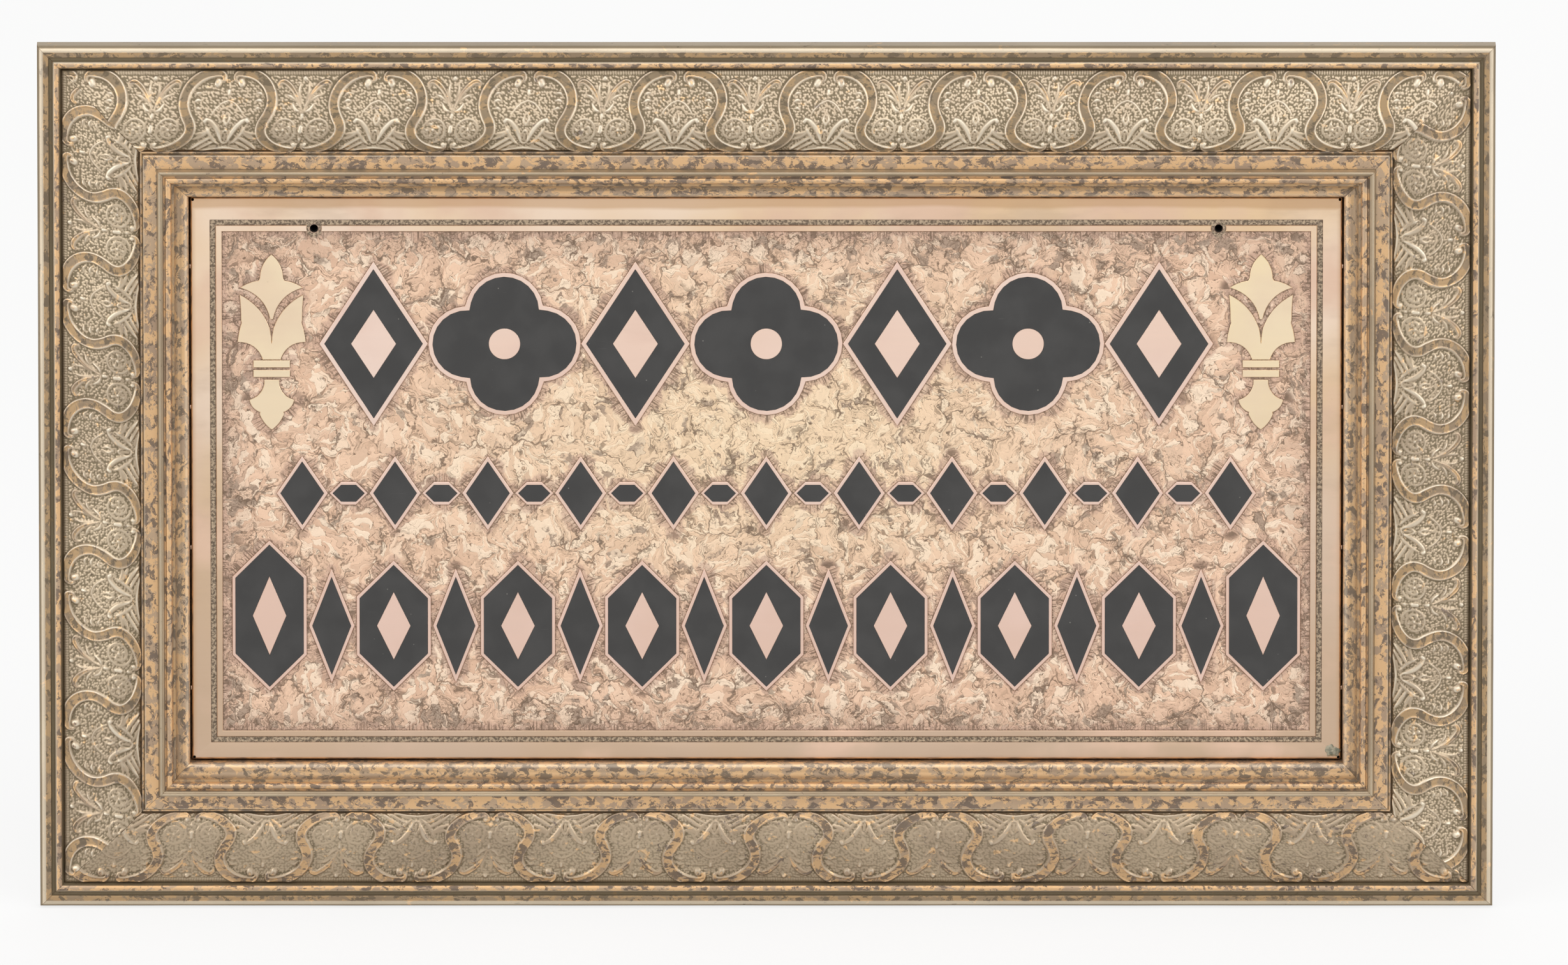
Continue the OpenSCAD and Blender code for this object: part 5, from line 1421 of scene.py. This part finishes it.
def cut_holes(piece, places, radius, low, high, sides=32):
    """Bores round holes through a piece: a boolean with many-sided rods, applied at once. The rods'
    near-black finish, which is painted shade, stays on the walls that they leave."""
    turn = np.linspace(0, 2 * np.pi, sides + 1)[:-1]
    rods = [stacked([polar(radius, turn, place)] * 2, [low, high]) for place in places]
    mesh = bpy.data.meshes.new("rods")
    faces = [(f + 2 * sides * k).tolist()
             for k in range(len(rods)) for group in capped_stack(2, sides) for f in group]
    mesh.from_pydata(np.concatenate(rods).tolist(), [], faces)
    mesh.materials.append(hole_shade_fibre)
    rod = bpy.data.objects.new("rods", mesh)
    bpy.context.scene.collection.objects.link(rod)
    cut = piece.modifiers.new("bores", "BOOLEAN")
    cut.operation, cut.object, cut.solver, cut.material_mode = "DIFFERENCE", rod, "EXACT", "TRANSFER"
    graph = bpy.context.evaluated_depsgraph_get()
    whole = bpy.data.meshes.new_from_object(piece.evaluated_get(graph), preserve_all_data_layers=True,
                                            depsgraph=graph)
    piece.modifiers.clear()
    old, piece.data = piece.data, whole
    bpy.data.meshes.remove(old)
    bpy.data.objects.remove(rod)
    bpy.data.meshes.remove(mesh)
    print(piece.name, "bored:", len(piece.data.polygons), "faces")


def edged(values, at_edge):
    """The grid's values, then one value for every point under its border."""
    return np.concatenate([values.ravel(), np.full(len(around), at_edge)])


flat_x, flat_y = ground_xy[..., 0], ground_xy[..., 1]
hole_gap = np.hypot(np.abs(flat_x) - FIXING_X, flat_y - FIXING_Y)
in_band = (edge_gap < BAND_W) | (hole_gap < FIXING_RING + 0.5)
inner = np.clip((edge_gap - BAND_W - RULE_W) / 22.0, 0, 1)
# A painted pool of reflected light on the ground, brightest a little above the middle.
glow = np.exp(-(flat_x / 150.0) ** 2 - ((flat_y - 25.0) / 75.0) ** 2)
lift = 0.07 * ripples(flat_x, flat_y, 20, (21.0, 13.0, 7.0)) * np.clip(rim / 2.0, 0, 1)
top = stand_up(flat_x.ravel(), flat_y.ravel(), (GROUND_H + lift).ravel())
number = np.arange(nx * ny).reshape(nx, ny)
around = np.concatenate([number[:-1, 0], number[-1, :-1], number[:0:-1, -1], number[0, :0:-1]])
border = ground_xy.reshape(-1, 2)[around]
lower = stand_up(border[:, 0], border[:, 1], GROUND_H - 0.3)
under = nx * ny + np.arange(len(around))
skirt = np.stack([under, np.roll(under, -1), np.roll(around, -1), around], axis=1)
slab = (np.concatenate([top, lower]), [grid_faces(nx, ny)[:, ::-1], skirt, under[None, ::-1]])
all_feet = np.concatenate([foot.reshape(-1, 2), border])
ground_layers = {"rim": edged(rim, 0.0), "foot": np.pad(all_feet, ((0, 0), (0, 1))),
                 "band": edged(in_band, 1.0), "inner": edged(inner, 0.0), "glow": edged(glow, 0.0)}
etched_ground = make_piece("etched_ground", [slab], [ground_copper], stands_for=["sign_pan"],
                           layers=ground_layers)
# Foot of all raised copper, the bevel along its top, and radius of the bend reliefs, in mm
COPPER_FOOT, BEVEL, RELIEF_R = GROUND_H - 0.2, 0.2, 0.8
make_piece("rule_line", [plateau(outline, COPPER_FOOT, FACE_H, 0.25) for outline in rule_pair],
           [margin_copper], stands_for=["sign_pan"])
fixings = [(-FIXING_X, FIXING_Y), (FIXING_X, FIXING_Y)]
cut_holes(folded_pan, fixings, FIXING_R, 5.0, 16.0)
relief_x, relief_y = PLATE_W / 2 - SHEET, PLATE_H / 2 - SHEET
reliefs = [(x, y) for x in (-relief_x, relief_x) for y in (-relief_y, relief_y)]
cut_holes(folded_pan, reliefs, RELIEF_R, 5.0, 16.0)
cut_holes(etched_ground, fixings, FIXING_R, 12.0, 15.0)

# %% [markdown]
# ## The walls of the fixing holes
# A drill tears the fibres of an old board, so the bore in the wood is rough. Its walls are almost
# black, which is painted shade for the depth of the hole, and the bore is half closed where the
# drill came out at the back, a dark plug that stands for the same shade.

# %%
# Fixing hole walls
def ragged_tube(place, low, high, radius, levels=14, spokes=40):
    """A closed tube: its bore's radius wanders by a tenth of a millimetre over angle and depth."""
    a = np.linspace(0, 2 * np.pi, spokes + 1)[:-1]
    depth = np.linspace(low, high, levels)
    wander = 0.10 * np.sin(5 * a + depth[:, None] * 2.1) + 0.06 * np.sin(11 * a - depth[:, None] * 3.7)
    # The bore narrows almost shut 2 mm from the back: a dark plug that stands for shade in the hole.
    wander -= 1.65 * np.exp(-((depth[:, None] - 2.2) / 1.6) ** 2)
    bore = [polar(radius + w, a, place) for w in wander]
    outer = polar(FIXING_R - 0.02, a, place)
    points = stacked([outer, *bore, outer], [low, *depth, high])
    return points, [grid_faces(levels + 2, spokes, True, True)]


make_piece("fixing_hole_walls", [ragged_tube(place, 0.3, 12.9, 1.95) for place in fixings], [hole_shade_fibre],
           sharp=60.0)

# %% [markdown]
# ## Raised edges, islands and enamel
# Round each shape the copper stands up as a narrow wall, and the enamel fills the tray inside
# it to a hair below the top. Where a shape has a bare island, the enamel is a ring round it.

# %%
# Shapes
# Top and foot of the enamel, how far it laps into the copper, and its own small bevel, in mm
ENAMEL_H, ENAMEL_FOOT, LAP, SOFT_EDGE = FACE_H - 0.07, GROUND_H - 0.15, 0.02, 0.02
for row, shapes in ROWS.items():
    edges, islands, fills = [], [], []
    for enamel_line, edge_line, island_line in shapes:
        edges.append(collar(edge_line, enamel_line, COPPER_FOOT, FACE_H, BEVEL))
        outside = moved_in(enamel_line, -LAP)
        if island_line is None:
            fills.append(plateau(outside, ENAMEL_FOOT, ENAMEL_H, SOFT_EDGE))
        else:
            fills.append(collar(outside, moved_in(island_line, LAP), ENAMEL_FOOT, ENAMEL_H, SOFT_EDGE))
            islands.append(plateau(island_line, COPPER_FOOT, FACE_H, BEVEL))
    make_piece(row + "_raised_edges", edges + islands, [edge_copper], stands_for=["sign_pan"])
    make_piece(row + "_enamel_fills", fills, [enamel], stands_for=[row + "_enamel"])
make_piece("leaf_ornaments", [plateau(outline, COPPER_FOOT, FACE_H, BEVEL) for outline in leaf_outlines],
           [leaf_copper], stands_for=["sign_pan"])

# %% [markdown]
# ## Solder at the lower right corner
# Someone once closed the torn fold with a soldering iron. Solder flows where the copper is hot
# and sets in a low, lumpy puddle, so it is a dome with a wandering edge.

# %%
# Solder
def puddle(centre, radius, height, rings=14, spokes=96):
    """A closed dome over a wandering circle: the height falls as one less the radius share to the
    power 2.6, with small waves on both."""
    a = np.linspace(0, 2 * np.pi, spokes + 1)[:-1]
    edge = radius * (1 + 0.15 * np.sin(2 * a + 2.2) + 0.08 * np.sin(3 * a + 2)
                     + 0.06 * np.sin(5 * a) + 0.05 * np.sin(8 * a + 1))
    s = np.linspace(1, 0.08, rings)
    lumps = 0.16 * np.sin(3 * s[:, None] * 6 + a) * (1 - s[:, None])
    h = FACE_H + height * (1 - s[:, None] ** 2.6) * (1 + lumps)
    h[0] = FACE_H - 0.25
    return stacked([polar(edge * k, a, centre) for k in s], h), capped_stack(rings, spokes)


make_piece("solder_puddle", [puddle((PLATE_W / 2 - 4.5, 4.5 - PLATE_H / 2), 3.7, 0.6)], [solder],
           stands_for=["corner_solder"])

# %% [markdown]
# ## Hardware on the back
# Six steel turn buttons hold the board in its rabbet, each on a round screw, and two straps with
# D rings hang the sign. Flat parts are collars between two outlines, round parts are a profile
# carried round an axis, and bent parts are an outline of strip carried across the strap.

# %%
# Round parts and wire
# A pivot's distance from the frame's outer edge, and from its middle for four of them, in mm
PIVOT_IN, PIVOT_OUT = 64.0, 150.0
PIVOT_X, PIVOT_Y = FRAME_W / 2 - PIVOT_IN, FRAME_H / 2 - PIVOT_IN
# Each button's pivot, and how far its long end is turned from upright, in degrees
BUTTONS = {"top_left": (-PIVOT_OUT, PIVOT_Y, 180), "top_right": (PIVOT_OUT, PIVOT_Y, 180),
           "bottom_left": (-PIVOT_OUT, -PIVOT_Y, 0), "bottom_right": (PIVOT_OUT, -PIVOT_Y, 0),
           "left": (-PIVOT_X, 0.0, -90), "right": (PIVOT_X, 0.0, 90)}
HINGE_X, HINGE_Y, HINGE_LIFT = FRAME_W / 2 - RAIL_W / 2, FRAME_H / 2 - 115, 3.0
HEAD_R, HEAD_H = 3.4, 1.8


def turned_part(centre, profile, spokes, slot_depth=0.0, slot_reach=0.0, slot_w=0.0, turn=0.0):
    """A closed round part on the frame's back. The profile lists (radius, height behind the back)
    from its foot to its middle; a cross recess sinks the points within half a slot of either arm."""
    p = np.asarray(profile, float)
    a = np.linspace(0, 2 * np.pi, spokes + 1)[:-1] + 0.01
    x, y = p[:, :1] * np.cos(a), p[:, :1] * np.sin(a)
    h = np.broadcast_to(p[:, 1:], x.shape).copy()
    if slot_depth:
        tx = np.abs(x * math.cos(turn) + y * math.sin(turn))
        ty = np.abs(y * math.cos(turn) - x * math.sin(turn))
        sink = np.clip((slot_w - np.minimum(tx, ty)) / 0.18, 0, 1)
        sink *= np.clip((slot_reach - np.maximum(tx, ty)) / 0.25, 0, 1)
        h -= slot_depth * sink * (np.arange(len(p))[:, None] > 2)
    points = stand_up((x + centre[0]).ravel(), (y + centre[1]).ravel(), -h.ravel())
    return points, capped_stack(len(p), spokes)


def screw_profile(radius, seat, height):
    """A pan head: its rim stands up a third of the height, then a flattened quarter ellipse runs to
    the middle."""
    t = np.linspace(0, np.pi / 2 - 0.05, 16)
    r, h = radius * np.cos(t), seat + height * (0.35 + 0.65 * np.sin(t))
    return [(radius * 0.98, seat), (radius, seat + 0.1)] + list(zip(r, h)) + [(0.05, seat + height)]


def screws(name, places, seat, node):
    """Screw heads with a cross recess, each at its own turn."""
    profile = screw_profile(HEAD_R, seat, HEAD_H)
    shells = [turned_part(c, profile, 56, 0.9, HEAD_R * 0.62, 0.42, 0.4 + 1.3 * k)
              for k, c in enumerate(places)]
    make_piece(name, shells, [steel], stands_for=[node], sharp=40.0)


hanger_places = [(s * HINGE_X, HINGE_Y - down) for s in (-1, 1) for down in (27, 38)]
screws("button_screw_heads", [(x, y) for x, y, _ in BUTTONS.values()], 1.75, "button_screws")
screws("hanger_screw_heads", hanger_places, 1.15, "hanger_screws")
flush = [(2.9, -1.2), (3.0, -0.1), (2.95, 0.0)]
flush += [(r, 0.0) for r in (2.4, 2.0, 1.7, 1.4, 1.1, 0.8, 0.5, 0.25, 0.05)]
core_x, core_y = PLATE_W * 0.4, PLATE_H * 0.3
core_places = [(x, y) for x in (-core_x, 0, core_x) for y in (-core_y, core_y)]
core_heads = [turned_part(c, flush, 56, 0.8, 1.9, 0.4, 0.7 + k) for k, c in enumerate(core_places)]
make_piece("core_screw_heads", core_heads, [steel], stands_for=["core_screws"],
           sharp=40.0)
pad_rim = arc((5.0, 5.0), (0.85, 0.9), 0, 90, 6)
pad_profile = [(6.0, 0.0), (6.0, 0.9), (5.75, 1.4), *pad_rim, (4.4, 5.88), (2.6, 5.55), (1.0, 5.5),
               (0.05, 5.5)]
pad_places = [(s * (FRAME_W / 2 - 25), 60 - FRAME_H / 2) for s in (-1, 1)]
make_piece("wall_bumpers", [turned_part(place, pad_profile, 48) for place in pad_places], [rubber],
           stands_for=["wall_pads"], sharp=50.0)

# %%
# Turn buttons
def button_shell(place, half=5.0, tail=9.0, length=32.0, hole=1.75, gap=0.3, thick=1.4):
    """A flat bar with round ends, bored at its pivot: two matched outlines at the same angles round
    the pivot, turned to the button's place, with small bevels on the face that shows."""
    ends = np.concatenate([arc((0, length - tail - half), (half, half), 0, 180, 16),
                           arc((0, half - tail), (half, half), 180, 360, 16)])
    angles = corner_angles(ends)
    lean = math.radians(place[2])
    turned = angles + lean
    outer = polar(convex_radius(ends, angles), turned, place[:2])
    inner = polar(hole, turned, place[:2])
    rings = [(outer, gap), (outer, gap + thick - 0.3), (moved_in(outer, 0.3), gap + thick),
             (moved_in(inner, -0.2), gap + thick), (inner, gap + thick - 0.2), (inner, gap)]
    points = np.concatenate([stand_up(o[:, 0], o[:, 1], -h) for o, h in rings])
    return points, [grid_faces(6, len(angles), True, True)]


for name, place in BUTTONS.items():
    make_piece(f"turn_button_{name}_bar", [button_shell(place)], [steel], body=f"button_{name}",
               stands_for=[f"button_{name}"])

# %%
# Straps and D rings
def strap_shells(side):
    """A flat plate with a round end, and the strip that rolls up from it round the ring's bar: a
    path in height over y, given half its thickness on both sides and carried across the strap."""
    w, t = 6.5, 1.2
    centre = side * HINGE_X
    end = arc((0, w - 44.0), (w, w), 180, 360, 24)
    plan = np.concatenate([end, [(w, -3.6), (-w, -3.6)]]) + (centre, HINGE_Y)
    plate = stacked([plan, plan, moved_in(plan, 0.2)], [0.0, 0.2 - t, -t])
    path = np.concatenate([[(-7.0, 0.6), (-5.2, 0.6), (-3.6, 0.62), (-2.0, 0.8), (-0.9, 1.02)],
                           arc((0, HINGE_LIFT), (1.85, 1.85), 270, 270 + 292, 26)])
    side_step = line_normals(path) * (t / 2 - 0.02)
    strip = np.concatenate([path + side_step, (path - side_step)[::-1]])
    across = [(-w, 0.15), (0.15 - w, 0.0), (w - 0.15, 0.0), (w, 0.15)]
    rings = [moved_in(strip, inset) for _, inset in across]
    points = np.concatenate([stand_up(np.full(len(r), centre + x), HINGE_Y + r[:, 0], -r[:, 1])
                             for (x, _), r in zip(across, rings)])
    return [(plate, capped_stack(3, len(plan))), (points, capped_stack(4, len(strip)))]


def ring_shell(side, wire=1.2, reach=10.2, leg=5.0, bend=1.7, spokes=16):
    """Round wire on a closed D: straight bar, two small bends, two legs and a half circle. Each point
    of the path carries a circle across it, in the plane of its normal and the height."""
    path = np.concatenate([arc((reach - bend, -bend), (bend, bend), 90, 0, 7),
                           arc((0, -leg), (reach, reach), 0, -180, 40),
                           arc((bend - reach, -bend), (bend, bend), 180, 90, 7),
                           [(-5.0, 0.0), (0.0, 0.0), (5.0, 0.0)]])
    tangent = np.roll(path, -1, axis=0) - np.roll(path, 1, axis=0)
    tangent /= np.linalg.norm(tangent, axis=1, keepdims=True)
    normal = np.stack([-tangent[:, 1], tangent[:, 0]], axis=1)
    a = np.linspace(0, 2 * np.pi, spokes + 1)[:-1]
    xy = path[:, None, :] + wire * np.cos(a)[None, :, None] * normal[:, None, :]
    h = np.broadcast_to(HINGE_LIFT + wire * np.sin(a), xy.shape[:2])
    points = stand_up((xy[..., 0] + side * HINGE_X).ravel(), (xy[..., 1] + HINGE_Y).ravel(), -h.ravel())
    return points, [grid_faces(len(path), spokes, True, True)]


for side_name, side in (("left", -1), ("right", 1)):
    make_piece(f"{side_name}_strap_plate", strap_shells(side), [steel], stands_for=[f"{side_name}_strap"],
               sharp=40.0)
    make_piece(f"{side_name}_ring_wire", [ring_shell(side)], [steel], body=f"{side_name}_ring",
               stands_for=[f"{side_name}_ring"], sharp=60.0)

# %% [markdown]
# ## Finishes for the parts that stay plain
# The boards, the wedges in the mitres and the tacks under the fold are the CAD model's own
# solids, with a finish each.

# %%
# Plain parts
for node, finish in (("core_board", core_pine), ("backing_board", board), ("corner_wedges", steel),
                     ("flange_tacks", edge_copper)):
    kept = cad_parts[node]
    kept.data.materials.clear()
    kept.data.materials.append(finish)
    print(node, "is now", finish.name)

# %% [markdown]
# ## Camera, floor and light
# The sign was photographed from far away with a long lens, about 12.5 degrees above the
# horizon, so its sides run parallel in the picture. A 900 mm lens does the same here. The
# picture is 831 mm wide at the plate.

# %%
# Camera
ELEVATION = math.radians(12.5)
PICTURE_W, PIXELS_W, LENS, SENSOR = 831.05, 2458, 900.0, 36.0
# How far the picture's middle lies right of the plate's middle and below it, in pixels
AIM_RIGHT, AIM_DOWN = 27.7, 6.0
camera_data = bpy.data.cameras.new("camera")
camera_data.lens, camera_data.sensor_width = LENS, SENSOR
camera = bpy.data.objects.new("camera", camera_data)
bpy.context.scene.collection.objects.link(camera)
plate_centre = np.array([0.0, -FACE_H, -FIXING_Y])
per_pixel = PICTURE_W / PIXELS_W
up = np.array([0.0, math.sin(ELEVATION), math.cos(ELEVATION)])
look = np.array([0.0, math.cos(ELEVATION), -math.sin(ELEVATION)])
aim = plate_centre + np.array([AIM_RIGHT * per_pixel, 0, 0]) - AIM_DOWN * per_pixel * up
camera.location = (aim - PICTURE_W * LENS / SENSOR * look) * MM
camera.rotation_euler = (math.pi / 2 - ELEVATION, 0, 0)
camera_data.clip_start, camera_data.clip_end = 0.1, 100.0
bpy.context.scene.camera = camera
print("camera at", [round(c, 3) for c in camera.location])

# %%
# Light
scene = bpy.context.scene
scene.view_settings.view_transform = "Standard"


def softbox(name, size, place, power):
    """A rectangular studio lamp that faces the sign: its tilt is the arc tangent of the level
    distance over the height, and its turn the angle of the way in plan."""
    data = bpy.data.lights.new(name, "AREA")
    data.shape, data.size, data.size_y = "RECTANGLE", size[0], size[1]
    data.energy = power
    lamp = bpy.data.objects.new(name, data)
    scene.collection.objects.link(lamp)
    lamp.location = place
    lamp.visible_camera = False
    way = np.array(SIGN_MIDDLE) - np.array(place)
    tilt = math.atan2(math.hypot(way[0], way[1]), -way[2])
    lamp.rotation_euler = (tilt, 0, math.atan2(way[1], way[0]) - math.pi / 2)
    print(name, "of", power, "W at", place, "m")


SIGN_MIDDLE = (0.0, 0.0, -0.1)
softbox("overhead_softbox", (2.6, 1.6), (0.0, -1.8, 2.4), 33.0)
softbox("left_softbox", (0.56, 1.76), (-2.6, -1.45, 0.5), 23.0)
softbox("right_softbox", (0.56, 1.76), (2.6, -1.45, 0.5), 23.0)
softbox("rear_softbox", (2.2, 1.6), (0.5, 2.9, 1.6), 20.0)

# %%
# World and floor
world = bpy.data.worlds.new("studio")
scene.world = world
world.use_nodes = True
sky = world.node_tree
sky.nodes.clear()
direction = add_node(sky, "TexCoord").outputs["Generated"]
upward = add_node(sky, "SeparateXYZ", {0: direction}).outputs["Z"]
room = add_node(sky, "ValToRGB", {0: between(sky, upward, -0.6, 0.8)})
for stop, (place, grey) in zip((0, 1), ((0.0, 0.42), (1.0, 0.80))):
    room.color_ramp.elements[stop].position = place
    room.color_ramp.elements[stop].color = (grey, grey, grey, 1.0)
lit = add_node(sky, "Background", {"Color": room.outputs[0], "Strength": 0.75})
white = add_node(sky, "Background", {"Color": (1, 1, 1, 1), "Strength": 1.0})


def seen_white(tree, plain, pale):
    """Shows the shader pale to camera, glossy and transmission rays, and plain to all others."""
    path = add_node(tree, "LightPath").outputs
    seen = maths(tree, "MAXIMUM", path["Is Glossy Ray"], path["Is Transmission Ray"])
    seen = maths(tree, "MAXIMUM", path["Is Camera Ray"], seen)
    return add_node(tree, "MixShader", {0: seen, 1: plain, 2: pale}).outputs[0]


sky_out = sky.nodes.new("ShaderNodeOutputWorld")
sky.links.new(seen_white(sky, lit.outputs[0], white.outputs[0]), sky_out.inputs[0])
floor_finish, tree, output = new_finish("pale_studio_floor")
matt = add_node(tree, "BsdfDiffuse", {"Color": linear("#F0F0EE")})
glow = add_node(tree, "Emission", {"Color": (1, 1, 1, 1), "Strength": 1.0})
mixed = add_node(tree, "MixShader", {0: 0.80, 1: matt.outputs[0], 2: glow.outputs[0]})
tree.links.new(seen_white(tree, matt.outputs[0], mixed.outputs[0]), output.inputs[0])
FLOOR_HALF = 40.0
floor_mesh = bpy.data.meshes.new("floor")
floor_z = (-FRAME_H / 2 - FIXING_Y) * MM - 0.001
floor_corners = [(x * FLOOR_HALF, y * FLOOR_HALF, floor_z) for x, y in ((-1, -1), (1, -1), (1, 1), (-1, 1))]
floor_mesh.from_pydata(floor_corners, [], [(0, 1, 2, 3)])
floor_mesh.materials.append(floor_finish)
floor = bpy.data.objects.new("floor", floor_mesh)
scene.collection.objects.link(floor)
print("studio ready")
